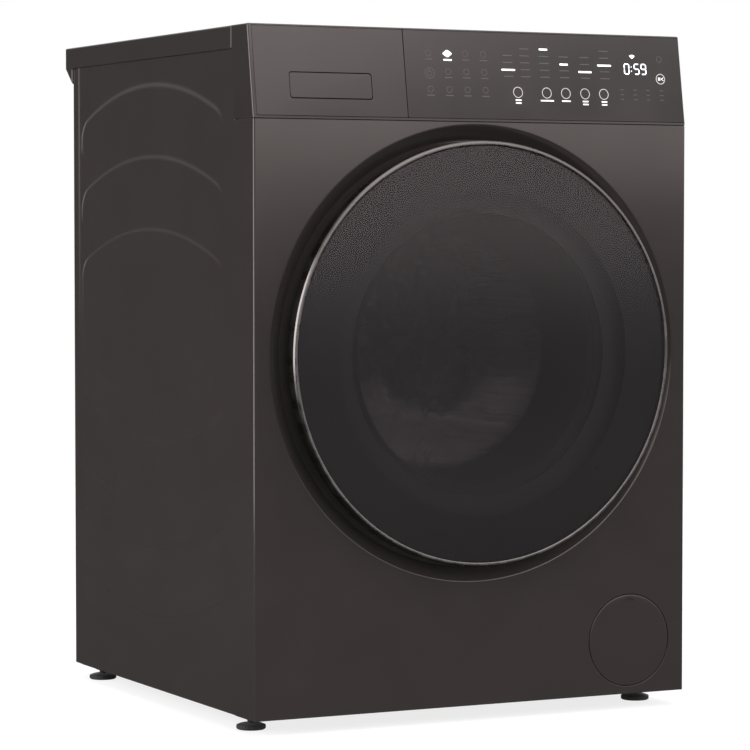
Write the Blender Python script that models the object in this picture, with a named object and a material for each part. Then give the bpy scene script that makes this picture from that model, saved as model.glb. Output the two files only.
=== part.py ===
"""Front load washing machine: cabinet, door, suspended tub and drum, detergent drawer, pump and feet.

Metres, +Z up. The front faces -Y, X is centred and the feet stand on z = 0. Depths are
measured back from the flat of the front panel, and at() turns them into world Y.
"""

from math import cos, pi, radians, sin, sqrt

import bmesh
import bpy
from mathutils import Matrix, Vector

# ---------------------------------------------------------------- driving dimensions
WIDTH = 0.600
HEIGHT = 0.850
DEPTH = 0.645
HALF = WIDTH / 2
GAP = 0.0003
SHEET = 0.0015
CROWN = 0.0322
FRONT = CROWN - DEPTH / 2
BACK = 0.5884
FLOOR_GAP = 0.020

AXIS_Z = 0.4535
DISH_RIM_R = 0.2795
DISH_FOOT_R = 0.262
DISH_DEPTH = 0.012
MOUTH_R = 0.185
MOUTH_LIP = 0.034
WRAP = 0.056
CORNER_R = 0.003
RIB_PROUD = 0.0010
PANEL_TOP = 0.7365

CONSOLE_LOW = 0.7375
CONSOLE_HIGH = 0.849
CONSOLE_SET_BACK = 0.0177
CONSOLE_BACK = 0.064
GLASS_X = -0.0937
DRAWER_X = (-0.2952, -0.0945)
TOP_LOW = 0.8217

HINGE_X = -0.247
HINGE_Y = -0.012
RING_R = 0.260
GLASS_R = 0.2542
RING_FRONT = -0.026
RING_BACK = -0.009

TUB_R = 0.272
TUB_WALL = 0.004
TUB_SPAN = (0.088, 0.290, 0.500)
DRUM_R = 0.252
DRUM_SPAN = (0.105, 0.470)
SHAFT_R = 0.015

SPRING_X = 0.245
SPRING_Z = (0.612, 0.795)
DAMPER_X = 0.170
LUG_Y = 0.390

FILTER = (0.219, 0.088)
FILTER_R = 0.0575
FOOT_X = 0.272
FOOT_Y = (0.072, 0.555)
FOOT_R = 0.018

STEPS = 36
SMALL_STEPS = 16


# ---------------------------------------------------------------- helpers
def clear_scene():
    for item in list(bpy.data.objects):
        bpy.data.objects.remove(item)


def at(depth):
    """World Y of a depth behind the front panel's flat."""
    return FRONT + depth


def slope(z):
    """Depth of the console's leaning face at height z."""
    return CONSOLE_SET_BACK * (z - CONSOLE_LOW) / (CONSOLE_HIGH - CONSOLE_LOW)


def material(name, colour, roughness, metallic=0.0, alpha=1.0):
    made = bpy.data.materials.new(name)
    made.use_nodes = True
    shader = made.node_tree.nodes["Principled BSDF"]
    shader.inputs["Base Color"].default_value = (*colour, 1.0)
    shader.inputs["Roughness"].default_value = roughness
    shader.inputs["Metallic"].default_value = metallic
    shader.inputs["Alpha"].default_value = alpha
    return made


def add_object(name, bm, look=None):
    """Turns a bmesh into an object, with its normals outwards."""
    bmesh.ops.recalc_face_normals(bm, faces=bm.faces)
    mesh = bpy.data.meshes.new(name)
    bm.to_mesh(mesh)
    bm.free()
    piece = bpy.data.objects.new(name, mesh)
    bpy.context.collection.objects.link(piece)
    if look:
        mesh.materials.append(look)
    return piece


def box(name, x, depth, z, look=None, bevel=0.0):
    """A block between two values on each axis, with its edges bevelled if asked."""
    bm = bmesh.new()
    bmesh.ops.create_cube(bm, size=1.0)
    size = Vector((x[1] - x[0], depth[1] - depth[0], z[1] - z[0]))
    middle = Vector(((x[0] + x[1]) / 2, at((depth[0] + depth[1]) / 2), (z[0] + z[1]) / 2))
    bmesh.ops.scale(bm, vec=size, verts=bm.verts)
    bmesh.ops.translate(bm, vec=middle, verts=bm.verts)
    if bevel:
        bmesh.ops.bevel(bm, geom=bm.edges, offset=bevel, segments=1, affect="EDGES")
    return add_object(name, bm, look)


def extrude(name, outline, place, travel, look=None):
    """A prism: place() puts each 2-D outline point in the world, and travel is its length."""
    bm = bmesh.new()
    face = bm.faces.new([bm.verts.new(place(*point)) for point in outline])
    pushed = bmesh.ops.extrude_face_region(bm, geom=[face])["geom"]
    moved = [part for part in pushed if isinstance(part, bmesh.types.BMVert)]
    bmesh.ops.translate(bm, vec=travel, verts=moved)
    return add_object(name, bm, look)


def across(name, outline, x, look=None):
    """A prism along X from an outline of (depth, z) points."""
    return extrude(name, outline, lambda d, z: (x[0], at(d), z), (x[1] - x[0], 0, 0), look)


def upright(name, outline, z, look=None):
    """A prism along Z from an outline of (x, depth) points."""
    return extrude(name, outline, lambda x, d: (x, at(d), z[0]), (0, 0, z[1] - z[0]), look)


def facing(name, outline, depth, look=None):
    """A prism along Y from an outline of (x, z) points."""
    return extrude(
        name, outline, lambda x, z: (x, at(depth[0]), z), (0, depth[1] - depth[0], 0), look
    )


def turned(name, profile, place, look=None, steps=STEPS, smooth=True):
    """Turns a closed profile of (radius, distance) points; place(x, z, distance) sets the axis."""
    bm = bmesh.new()
    rings = []
    for radius, distance in profile:
        if radius == 0:
            rings.append([bm.verts.new(place(0, 0, distance))])
            continue
        turns = [2 * pi * step / steps for step in range(steps)]
        rings.append([bm.verts.new(place(radius * cos(a), radius * sin(a), distance)) for a in turns])
    for ring, following in zip(rings, rings[1:] + rings[:1]):
        if len(ring) == 1 and len(following) == 1:
            continue
        for step in range(steps):
            corners = [
                ring[step % len(ring)],
                ring[(step + 1) % len(ring)],
                following[(step + 1) % len(following)],
                following[step % len(following)],
            ]
            bm.faces.new(list(dict.fromkeys(corners)))
    piece = add_object(name, bm, look)
    if smooth:
        round_off(piece)
    return piece


def round_off(piece):
    piece.data.shade_smooth()
    piece.data.set_sharp_from_angle(angle=radians(32))


def along_y(x, z):
    return lambda across_x, up, depth: (x + across_x, at(depth), z + up)


def along_z(x, depth):
    return lambda across_x, back, z: (x + across_x, at(depth) + back, z)


def combine(piece, others, operation):
    """Applies an exact Boolean with each of the others, and removes them."""
    for other in others:
        step = piece.modifiers.new(operation, "BOOLEAN")
        step.operation = operation
        step.solver = "EXACT"
        step.object = other
        bpy.context.view_layer.objects.active = piece
        bpy.ops.object.modifier_apply(modifier=step.name)
        bpy.data.objects.remove(other)
    return piece


def cut(piece, *cutters):
    return combine(piece, cutters, "DIFFERENCE")


def join(piece, *others):
    return combine(piece, others, "UNION")


def arc(centre, radius, start, stop, steps):
    """Points on an arc, angles in degrees."""
    angles = [radians(start + (stop - start) * i / steps) for i in range(steps + 1)]
    return [(centre[0] + radius * cos(a), centre[1] + radius * sin(a)) for a in angles]


def rod(x, z, radius, depth, steps=SMALL_STEPS):
    """A plain cylinder along Y, for a cutter or a union."""
    profile = [(0, depth[0]), (radius, depth[0]), (radius, depth[1]), (0, depth[1])]
    return turned("rod", profile, along_y(x, z), steps=steps)


def post(x, depth, radius, z, steps=SMALL_STEPS):
    """A plain cylinder along Z."""
    profile = [(0, z[0]), (radius, z[0]), (radius, z[1]), (0, z[1])]
    return turned("post", profile, along_z(x, depth), steps=steps)


def tube(name, points, radius, look, sides=2):
    """A solid hose or wire through world points."""
    curve = bpy.data.curves.new(name, "CURVE")
    curve.dimensions = "3D"
    curve.bevel_depth = radius
    curve.bevel_resolution = sides
    curve.use_fill_caps = True
    spline = curve.splines.new("POLY")
    spline.points.add(len(points) - 1)
    for slot, point in zip(spline.points, points):
        slot.co = (*point, 1.0)
    piece = bpy.data.objects.new(name, curve)
    bpy.context.collection.objects.link(piece)
    curve.materials.append(look)
    return piece


def bezier(start, lean_out, lean_in, stop, steps):
    """Points on a cubic curve between two ends."""
    corners = [Vector(point) for point in (start, lean_out, lean_in, stop)]
    points = []
    for i in range(steps + 1):
        t = i / steps
        weights = ((1 - t) ** 3, 3 * t * (1 - t) ** 2, 3 * t * t * (1 - t), t**3)
        points.append(sum((w * c for w, c in zip(weights, corners)), Vector()))
    return points


def pivot(name, point, pieces):
    """Puts an empty on a joint's axis and hangs the moving pieces from it."""
    empty = bpy.data.objects.new(name, None)
    empty.location = point
    empty.empty_display_size = 0.03
    bpy.context.collection.objects.link(empty)
    for piece in pieces:
        piece.data.transform(Matrix.Translation(-Vector(point)))
        piece.parent = empty


# ---------------------------------------------------------------- materials
def make_looks():
    return {
        "body": material("body_enamel", (0.040, 0.036, 0.035), 0.38, 0.25),
        "console": material("console_plastic", (0.075, 0.068, 0.068), 0.35),
        "glass": material("smoked_glass", (0.020, 0.018, 0.019), 0.05, alpha=0.6),
        "bowl": material("clear_glass", (0.60, 0.62, 0.62), 0.03, alpha=0.35),
        "ring": material("satin_metal", (0.45, 0.43, 0.42), 0.25, 1.0),
        "dark": material("dark_plastic", (0.012, 0.012, 0.013), 0.45),
        "grey": material("grey_plastic", (0.22, 0.22, 0.22), 0.5),
        "white": material("white_plastic", (0.70, 0.70, 0.68), 0.45),
        "rubber": material("grey_rubber", (0.14, 0.14, 0.14), 0.75),
        "black_rubber": material("black_rubber", (0.010, 0.010, 0.010), 0.8),
        "steel": material("stainless", (0.62, 0.61, 0.60), 0.22, 1.0),
        "zinc": material("zinc_steel", (0.42, 0.42, 0.43), 0.4, 1.0),
        "concrete": material("cast_block", (0.30, 0.29, 0.27), 0.9),
        "copper": material("stator_winding", (0.55, 0.25, 0.12), 0.4, 1.0),
    }


# ---------------------------------------------------------------- cabinet
def base_frame(look):
    """A moulded tray with an open middle, foot holes and a web under each damper."""
    high = FLOOR_GAP + 0.022
    piece = box("base_frame", (-0.297, 0.297), (0.0582, 0.5862), (FLOOR_GAP, high), look)
    cut(piece, box("well", (-0.225, 0.225), (0.100, 0.540), (FLOOR_GAP - 0.01, high + 0.01)))
    for side in (-1, 1):
        web = sorted((side * 0.135, side * 0.240))
        join(piece, box("web", web, (LUG_Y - 0.03, LUG_Y + 0.03), (FLOOR_GAP, FLOOR_GAP + 0.012)))
        for depth in FOOT_Y:
            cut(piece, post(side * FOOT_X, depth, 0.0056, (FLOOR_GAP - 0.01, high + 0.01)))
    return piece


def band_outline(apex_z, drop, high=0.046, ends=(0.091, 0.554), crest=0.320):
    """One pressed rib of a side panel: an arched strip with round rear ends, as (depth, z)."""
    radius = 0.613
    steps = 8

    def arch(z0):
        points = []
        for i in range(steps + 1):
            depth = ends[0] + (ends[1] - ends[0]) * i / steps
            sag = radius - sqrt(radius**2 - (depth - crest) ** 2)
            points.append((depth, z0 + drop * sag))
        return points

    return arch(apex_z) + arch(apex_z - high)[::-1]


RIB_TOPS_UP = (0.789, 0.698, 0.606)
RIB_TOPS_DOWN = (0.385, 0.293, 0.203, 0.113)


def side_panel(name, side, look):
    """A flat sheet with return flanges and the pressed, arched ribs."""
    outer = side * (HALF - RIB_PROUD)
    inner = outer - side * SHEET
    flange = side * (HALF - 0.014)
    front = WRAP + GAP
    rear = BACK
    outline = [
        (outer, front),
        (outer, rear),
        (flange, rear),
        (flange, rear - SHEET),
        (inner, rear - SHEET),
        (inner, front + SHEET),
        (flange, front + SHEET),
        (flange, front),
    ]
    piece = upright(name, outline, (FLOOR_GAP, TOP_LOW - GAP), look)
    ribs = [(top, -1) for top in RIB_TOPS_UP] + [(top, 1) for top in RIB_TOPS_DOWN]
    for top, drop in ribs:
        reach = sorted((outer - side * SHEET / 2, outer + side * RIB_PROUD))
        join(piece, across("rib", band_outline(top, drop), reach))
    return piece


def rear_panel(look):
    """A sheet with a service opening and holes for the inlets, the drain and the cord."""
    piece = box("rear_panel", (-0.2855, 0.2855), (BACK - SHEET, BACK), (0.0425, TOP_LOW - 0.001), look)
    cut(
        piece,
        box("service", (-0.150, 0.150), (BACK - 0.01, BACK + 0.01), (0.290, 0.640)),
        rod(INLET_X[0], INLET_Z, 0.0150, (BACK - 0.01, BACK + 0.01)),
        rod(INLET_X[1], INLET_Z, 0.0150, (BACK - 0.01, BACK + 0.01)),
        rod(*DRAIN_AT, 0.0140, (BACK - 0.01, BACK + 0.01)),
        rod(*CORD_AT, 0.0100, (BACK - 0.01, BACK + 0.01)),
    )
    return piece


INLET_X = (-0.235, -0.165)
INLET_Z = 0.735
DRAIN_AT = (0.235, 0.700)
CORD_AT = (0.235, 0.640)


def rear_service_cover(look):
    x = (-0.165, 0.165)
    return box("rear_service_cover", x, (BACK + GAP, BACK + 0.0025), (0.275, 0.655), look)


def top_panel(look):
    """The lid: a hollow slab whose rear lip overhangs the back and tapers down."""
    over = DEPTH - CROWN
    outline = [
        (CONSOLE_BACK + 0.0005, TOP_LOW),
        (CONSOLE_BACK + 0.0005, HEIGHT - 0.002),
        (CONSOLE_BACK + 0.0025, HEIGHT),
        (over - 0.002, HEIGHT),
        (over, HEIGHT - 0.002),
        (over, TOP_LOW),
        (BACK + GAP, 0.8005),
        (BACK + GAP, TOP_LOW),
    ]
    piece = across("top_panel", outline, (-HALF, HALF), look)
    cut(
        piece,
        box("under", (-0.2970, 0.2970), (0.0675, BACK - 0.004), (TOP_LOW - 0.01, HEIGHT - 0.002)),
        box("lip_way", (-0.2970, 0.2970), (BACK - 0.005, over - 0.004), (0.826, HEIGHT - 0.002)),
    )
    return piece


def front_panel(look):
    """The front sheet wrapped round both corners, with the door's dish and the hatch's hole."""
    outer = [(-HALF, WRAP)] + arc((-HALF + CORNER_R, CORNER_R), CORNER_R, 180, 270, 3)
    outer += arc((HALF - CORNER_R, CORNER_R), CORNER_R, 270, 360, 3) + [(HALF, WRAP)]
    inside = HALF - SHEET
    inner = [(inside, WRAP), (inside, CORNER_R), (inside - SHEET, SHEET)]
    inner += [(-x, depth) for x, depth in inner[::-1]]
    piece = upright("front_panel", outer + inner, (FLOOR_GAP, PANEL_TOP), look)
    cut(piece, rod(0, AXIS_Z, DISH_RIM_R, (-0.01, 0.01), STEPS))
    cut(piece, rod(*FILTER, FILTER_R + 0.001, (-0.01, 0.01), 28))
    foot = DISH_DEPTH + SHEET
    dish = [
        (DISH_RIM_R + 0.0010, 0.0005),
        (DISH_FOOT_R, DISH_DEPTH),
        (MOUTH_R, DISH_DEPTH),
        (MOUTH_R, MOUTH_LIP),
        (MOUTH_R + SHEET, MOUTH_LIP),
        (MOUTH_R + SHEET, foot),
        (DISH_FOOT_R + 0.0008, foot),
        (DISH_RIM_R + 0.0030, 0.0010),
    ]
    join(piece, turned("dish", dish, along_y(0, AXIS_Z)))
    cut(piece, box("slot", (0.2135, 0.2305), (0.008, 0.020), (AXIS_Z - 0.014, AXIS_Z + 0.014)))
    round_off(piece)
    return piece


# ---------------------------------------------------------------- console and drawer
def console_housing(look):
    """The carrier behind the glass and the drawer front, with both end cheeks."""
    recess = 0.0045
    outline = [
        (0.0, CONSOLE_LOW),
        (slope(HEIGHT - 0.002), HEIGHT - 0.002),
        (slope(HEIGHT) + 0.002, HEIGHT),
        (CONSOLE_BACK, HEIGHT),
        (CONSOLE_BACK, TOP_LOW),
        (WRAP, TOP_LOW),
        (WRAP, CONSOLE_LOW),
    ]
    piece = across("console_housing", outline, (-HALF, HALF), look)
    low, high = CONSOLE_LOW + 0.003, CONSOLE_HIGH - 0.001
    bay = [
        (slope(low) - 0.02, low),
        (slope(high) - 0.02, high),
        (slope(high) + recess, high),
        (slope(low) + recess, low),
    ]
    cut(
        piece,
        across("face", bay, (-HALF + 0.0045, HALF - 0.0010)),
        box("drawer_way", (-0.2875, -0.1025), (-0.01, 0.1), (0.7455, 0.8310)),
        box("board_way", (-0.085, 0.285), (0.030, 0.1), (0.7500, 0.8420)),
    )
    return piece


def control_glass(look):
    """The leaning touch glass. Its rear face stands clear of the carrier."""
    low, high = CONSOLE_LOW + 0.0034, CONSOLE_HIGH - 0.0014
    outline = [
        (slope(low), low),
        (slope(high), high),
        (slope(high) + 0.0042, high),
        (slope(low) + 0.0042, low),
    ]
    return across("control_glass", outline, (GLASS_X, HALF - 0.0014), look)


def control_module(look):
    """The display and touch board in its tray behind the glass."""
    return box("control_module", (-0.080, 0.280), (0.0305, 0.060), (0.7530, 0.8390), look, 0.002)


FLAP_X = (-0.2496, -0.1408)
FLAP_Z = (0.7624, 0.7924)
FLAP_THICK = 0.003
POCKET_BACK = 0.040


def drawer_front(look):
    """The leaning fascia of the drawer, with a pocket behind its push-in flap."""
    low, high = CONSOLE_LOW + 0.0034, CONSOLE_HIGH - 0.0014
    outline = [
        (slope(low), low),
        (slope(high), high),
        (slope(high) + 0.0042, high),
        (slope(low) + 0.0042, low),
    ]
    piece = across("drawer_front", outline, DRAWER_X, look)
    wall = 0.0025
    block_x = (FLAP_X[0] - wall, FLAP_X[1] + wall)
    block_z = (FLAP_Z[0] - wall - 0.0015, FLAP_Z[1] + wall + 0.0015)
    join(piece, box("block", block_x, (slope(FLAP_Z[1]) + 0.002, POCKET_BACK + wall), block_z))
    beside, swing = 0.0006, 0.0012
    pocket_x = (FLAP_X[0] - beside, FLAP_X[1] + beside)
    pocket_z = (FLAP_Z[0] - swing, FLAP_Z[1] + swing)
    cut(piece, box("pocket", pocket_x, (-0.01, POCKET_BACK), pocket_z))
    return piece


def drawer_flap(look):
    """The grip flap, flush with the fascia and hinged along its top edge."""
    low, high = FLAP_Z
    outline = [
        (slope(low), low),
        (slope(high), high),
        (slope(high) + FLAP_THICK, high),
        (slope(low) + FLAP_THICK, low),
    ]
    return across("drawer_flap", outline, FLAP_X, look)


TRAY_X = (-0.2830, -0.1070)
TRAY_DEPTH = (0.0430, 0.3300)
TRAY_Z = (0.7510, 0.8150)
TRAY_WALL = 0.0025


def detergent_drawer(look):
    """The open tray with three compartments."""
    piece = box("detergent_drawer", TRAY_X, TRAY_DEPTH, TRAY_Z, look)
    for x in compartments():
        z = (TRAY_Z[0] + 0.004, TRAY_Z[1] + 0.01)
        depth = (TRAY_DEPTH[0] + TRAY_WALL, TRAY_DEPTH[1] - TRAY_WALL)
        cut(piece, box("compartment", x, depth, z))
    return piece


def compartments():
    """X spans of the tray's three compartments."""
    edges = (TRAY_X[0], -0.2230, -0.1690, TRAY_X[1])
    return [(a + TRAY_WALL, b - TRAY_WALL) for a, b in zip(edges, edges[1:])]


def drawer_housing(look):
    """The box that the drawer runs in, open at the front, with an outlet stub below."""
    x = (TRAY_X[0] - 0.0040, TRAY_X[1] + 0.0040)
    outer = box("drawer_housing", x, (0.0785, 0.345), (0.7460, 0.8290), look)
    inner_x = (x[0] + 0.0025, x[1] - 0.0025)
    cut(outer, box("way", inner_x, (0.0, 0.3425), (0.7485, 0.8265)))
    return outer


# ---------------------------------------------------------------- rear fittings and hoses
def inlet_valve(name, x, look):
    """A solenoid valve whose threaded nose comes through the rear panel."""
    profile = [
        (0, 0.545),
        (0.016, 0.545),
        (0.016, 0.580),
        (0.0125, 0.580),
        (0.0125, 0.608),
        (0.0090, 0.608),
        (0.0090, 0.600),
        (0, 0.600),
    ]
    return turned(name, profile, along_y(x, INLET_Z), look, steps=SMALL_STEPS)


def stub(name, place, radius, bore, depth, look):
    """A short hollow spigot through the rear panel."""
    profile = [
        (0, depth[0]),
        (radius, depth[0]),
        (radius, depth[1]),
        (bore, depth[1]),
        (bore, depth[1] - 0.012),
        (0, depth[1] - 0.012),
    ]
    return turned(name, profile, along_y(*place), look, steps=SMALL_STEPS)


def drain_pump(look):
    """The well behind the hatch, the pump's chamber and its motor, as one moulding."""
    well = FILTER_R + 0.0015
    profile = [
        (well, SHEET + GAP),
        (well, 0.050),
        (0.034, 0.050),
        (0.034, 0.140),
        (0, 0.140),
        (0, 0.185),
        (0.026, 0.185),
        (0.026, 0.150),
        (0.040, 0.146),
        (0.040, 0.052),
        (well + SHEET, 0.052),
        (well + SHEET, SHEET + GAP),
    ]
    return turned("drain_pump", profile, along_y(*FILTER), look, steps=24)


def pump_filter(look):
    """The screw-in filter: a flanged plug with a grip bar and a lint basket stem."""
    profile = [
        (0, 0.040),
        (0.0325, 0.040),
        (0.0325, 0.060),
        (0.0220, 0.060),
        (0.0220, 0.110),
        (0, 0.110),
    ]
    piece = turned("pump_filter", profile, along_y(*FILTER), look, steps=20)
    x, z = FILTER
    join(piece, box("grip", (x - 0.004, x + 0.004), (0.022, 0.041), (z - 0.024, z + 0.024)))
    return piece


def pump_impeller(look):
    """Four vanes on a hub."""
    x, z = FILTER
    piece = rod(x, z, 0.008, (0.120, 0.136))
    piece.name = "pump_impeller"
    piece.data.materials.append(look)
    join(
        piece,
        box("vane", (x - 0.022, x + 0.022), (0.1215, 0.1345), (z - 0.0015, z + 0.0015)),
        box("vane", (x - 0.0015, x + 0.0015), (0.1220, 0.1340), (z - 0.022, z + 0.022)),
    )
    return piece


def filter_cover(look):
    """The round hatch, flush with the front panel, with a small notch at its top."""
    profile = [(0, -0.0005), (FILTER_R - 0.0005, -0.0005), (FILTER_R, 0.0), (FILTER_R, 0.0025), (0, 0.0025)]
    piece = turned("filter_cover", profile, along_y(*FILTER), look, steps=28)
    x, top = FILTER[0], FILTER[1] + FILTER_R
    cut(piece, box("notch", (x - 0.006, x + 0.006), (-0.002, 0.0010), (top - 0.008, top - 0.004)))
    return piece


def foot(name, x, depth, look):
    """A levelling foot: a rubber-soled pad on a threaded stud."""
    profile = [
        (0, 0.0),
        (FOOT_R - 0.001, 0.0),
        (FOOT_R, 0.0010),
        (FOOT_R, 0.0060),
        (0.009, 0.0085),
        (0.0050, 0.0085),
        (0.0050, 0.040),
        (0, 0.040),
    ]
    return turned(name, profile, along_z(x, depth), look, steps=SMALL_STEPS)


# ---------------------------------------------------------------- door
def door_ring(look):
    profile = [
        (RING_R - 0.0015, RING_FRONT),
        (RING_R, RING_FRONT + 0.0015),
        (RING_R, RING_BACK),
        (0.2545, RING_BACK),
        (0.2545, RING_FRONT),
    ]
    return turned("door_ring", profile, along_y(0, AXIS_Z), look)


def door_glass(look):
    """The domed outer glass."""
    rise = CROWN + RING_FRONT - 0.0005
    profile = []
    for share in (0.0, 0.45, 0.8, 0.96):
        profile.append((share * GLASS_R, -CROWN + rise * share**2))
    profile += [(GLASS_R, RING_FRONT + 0.0015), (GLASS_R, RING_FRONT + 0.0040)]
    profile += [(0.5 * GLASS_R, -CROWN + 0.0055), (0, -CROWN + 0.0040)]
    return turned("door_glass", profile, along_y(0, AXIS_Z), look)


INNER_FRAME_R = 0.250
INNER_FRAME_BACK = 0.008
NOTCH_Z = 0.042


def door_inner_frame(look):
    """The plastic ring that carries the bowl, notched for the hinge and the hook."""
    profile = [
        (0.1745, RING_BACK + 0.0010),
        (INNER_FRAME_R, RING_BACK + 0.0010),
        (INNER_FRAME_R, INNER_FRAME_BACK - 0.003),
        (INNER_FRAME_R - 0.003, INNER_FRAME_BACK),
        (0.1745, INNER_FRAME_BACK),
    ]
    piece = turned("door_inner_frame", profile, along_y(0, AXIS_Z), look)
    notch_z = (AXIS_Z - NOTCH_Z, AXIS_Z + NOTCH_Z)
    cut(
        piece,
        box("hinge_notch", (-0.260, HINGE_X + 0.025), (-0.02, 0.02), notch_z),
        box("hook_notch", (0.2140, 0.2300), (-0.02, 0.02), (AXIS_Z - 0.0105, AXIS_Z + 0.0105)),
    )
    return piece


def door_bowl(look):
    """The glass bowl: a flanged, tapering shell closed at its inner end."""
    profile = [
        (0.174, -0.004),
        (0.174, 0.010),
        (0.168, 0.020),
        (0.158, 0.070),
        (0.152, 0.102),
        (0.142, 0.112),
        (0.080, 0.117),
        (0, 0.120),
        (0, 0.115),
        (0.080, 0.112),
        (0.139, 0.1072),
        (0.147, 0.100),
        (0.153, 0.069),
        (0.163, 0.018),
        (0.164, -0.004),
    ]
    return turned("door_bowl", profile, along_y(0, AXIS_Z), look)


EAR_Z = (0.027, 0.033)
PIN_R = 0.003


def door_hinge_bracket(look):
    """The fixed hinge: a plate on the dish with two goosenecked ears round the pin."""
    x, y = HINGE_X, HINGE_Y
    plate = (DISH_DEPTH - 0.0023, DISH_DEPTH - GAP)
    piece = box("door_hinge_bracket", (x + 0.004, x + 0.050), plate, (AXIS_Z - 0.05, AXIS_Z + 0.05), look)
    ear = [(-4.1, -1.1), (-3.0, -2.9), (-1.1, -4.1), (6, -4), (14, 2), (14, 22.5), (8, 22.5)]
    ear += [(8, 4.5), (3, 3), (-1.1, 4.0), (-3.0, 2.9), (-4.1, 1.1)]
    outline = [(x + a / 1000, y + b / 1000) for a, b in ear]
    for side in (-1, 1):
        z = sorted((AXIS_Z + side * EAR_Z[0], AXIS_Z + side * EAR_Z[1]))
        join(piece, upright("ear", outline, z))
    cut(piece, post(x, y, PIN_R + 0.0003, (AXIS_Z - 0.04, AXIS_Z + 0.04), 12))
    return piece


def door_hinge_arm(look):
    """The moving hinge knuckle: a pin through both ears and the block that holds the door."""
    x, y = HINGE_X, HINGE_Y
    span = (AXIS_Z - 0.024, AXIS_Z + 0.024)
    piece = box("door_hinge_arm", (x - 0.0035, x + 0.0247), (y - 0.004, y + 0.007), span, look)
    join(piece, post(x, y, PIN_R, (AXIS_Z - 0.036, AXIS_Z + 0.036), 12))
    return piece


HOOK_AT = (0.222, 0.002)


def door_hook(look):
    """The latch hook, which pivots in the door and enters the lock."""
    x, depth = HOOK_AT
    outline = [
        (x - 0.003, depth - 0.005),
        (x + 0.003, depth - 0.005),
        (x + 0.003, 0.028),
        (x + 0.006, 0.029),
        (x + 0.002, 0.035),
        (x - 0.003, 0.035),
    ]
    return upright("door_hook", outline, (AXIS_Z - 0.007, AXIS_Z + 0.007), look)


def door_lock(look):
    """The lock behind the front panel, with a mouth for the hook."""
    piece = box("door_lock", (0.205, 0.246), (DISH_DEPTH + SHEET + GAP, 0.046), (0.423, 0.484), look, 0.001)
    cut(piece, box("mouth", (0.2135, 0.2335), (0.0, 0.040), (AXIS_Z - 0.013, AXIS_Z + 0.013)))
    return piece


def door_gasket(look):
    """The rubber bellows between the front panel's mouth and the tub."""
    profile = [
        (MOUTH_R + SHEET + 2 * GAP, 0.0240),
        (0.1945, 0.0240),
        (0.1950, 0.0600),
        (0.1860, 0.0660),
        (0.1950, 0.0720),
        (0.1950, 0.0872),
        (0.1770, 0.0872),
        (0.1770, 0.0840),
        (0.1910, 0.0840),
        (0.1820, 0.0665),
        (0.1910, 0.0450),
        (0.1720, 0.0400),
        (0.1720, 0.0350),
        (MOUTH_R + SHEET + 2 * GAP, 0.0350),
    ]
    return turned("door_gasket", profile, along_y(0, AXIS_Z), look)


# ---------------------------------------------------------------- tub and drum
def tub_front(look):
    """The tub's front half: an annular face with the gasket's seat and the outer wall."""
    front, split, _ = TUB_SPAN
    inner = TUB_R - TUB_WALL
    profile = [
        (MOUTH_R, front),
        (TUB_R, front),
        (TUB_R, split - 0.008),
        (TUB_R + 0.006, split - 0.008),
        (TUB_R + 0.006, split - GAP),
        (inner, split - GAP),
        (inner, front + 0.005),
        (MOUTH_R, front + 0.005),
    ]
    return turned("tub_front", profile, along_y(0, AXIS_Z), look)


def tub_rear(look):
    """The tub's rear half: a cup with the bearing hub, spring lugs and damper lugs."""
    _, split, back = TUB_SPAN
    inner = TUB_R - TUB_WALL
    profile = [
        (inner, split),
        (TUB_R + 0.006, split),
        (TUB_R + 0.006, split + 0.008),
        (TUB_R, split + 0.008),
        (TUB_R, back),
        (0.045, back),
        (0.045, back + 0.042),
        (0.0303, back + 0.042),
        (0.0303, back + 0.028),
        (0.022, back + 0.028),
        (0.022, back + 0.002),
        (0.0303, back + 0.002),
        (0.0303, back - 0.012),
        (0.050, back - 0.012),
        (0.050, back - 0.006),
        (inner, back - 0.006),
    ]
    piece = turned("tub_rear", profile, along_y(0, AXIS_Z), look)
    for side in (-1, 1):
        surface = sqrt(TUB_R**2 - SPRING_X**2)
        x = (side * SPRING_X - 0.008, side * SPRING_X + 0.008)
        top = SPRING_Z[0] - GAP
        join(piece, box("spring_lug", x, (LUG_Y - 0.01, LUG_Y + 0.01), (AXIS_Z + surface - 0.012, top)))
        surface = sqrt(TUB_R**2 - DAMPER_X**2)
        x = (side * DAMPER_X - 0.012, side * DAMPER_X + 0.012)
        low = ROD_TOP + GAP
        join(piece, box("damper_lug", x, (LUG_Y - 0.012, LUG_Y + 0.012), (low, AXIS_Z - surface + 0.010)))
    return piece


ROD_TOP = 0.222


def counterweight(name, start, stop, look):
    """A cast block: a sector on the tub's front face."""
    outline = arc((0, AXIS_Z), 0.262, start, stop, 10) + arc((0, AXIS_Z), 0.200, stop, start, 10)
    return facing(name, outline, (0.050, TUB_SPAN[0] - GAP), look)


def stator(look):
    back = TUB_SPAN[2]
    profile = [(0.060, back + 0.012), (0.118, back + 0.012), (0.118, back + 0.040), (0.060, back + 0.040)]
    return turned("stator", profile, along_y(0, AXIS_Z), look, steps=32)


def rotor(look):
    """The motor's outer cup on the end of the shaft."""
    back = TUB_SPAN[2]
    bore = SHAFT_R + GAP
    profile = [
        (0.121, back + 0.012),
        (0.130, back + 0.012),
        (0.130, back + 0.050),
        (bore, back + 0.050),
        (bore, back + 0.044),
        (0.121, back + 0.044),
    ]
    return turned("rotor", profile, along_y(0, AXIS_Z), look, steps=32)


def bearing(name, depth, look):
    outer, bore = 0.030, SHAFT_R + GAP
    profile = [(bore, depth[0]), (outer, depth[0]), (outer, depth[1]), (bore, depth[1])]
    return turned(name, profile, along_y(0, AXIS_Z), look, steps=24)


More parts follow.
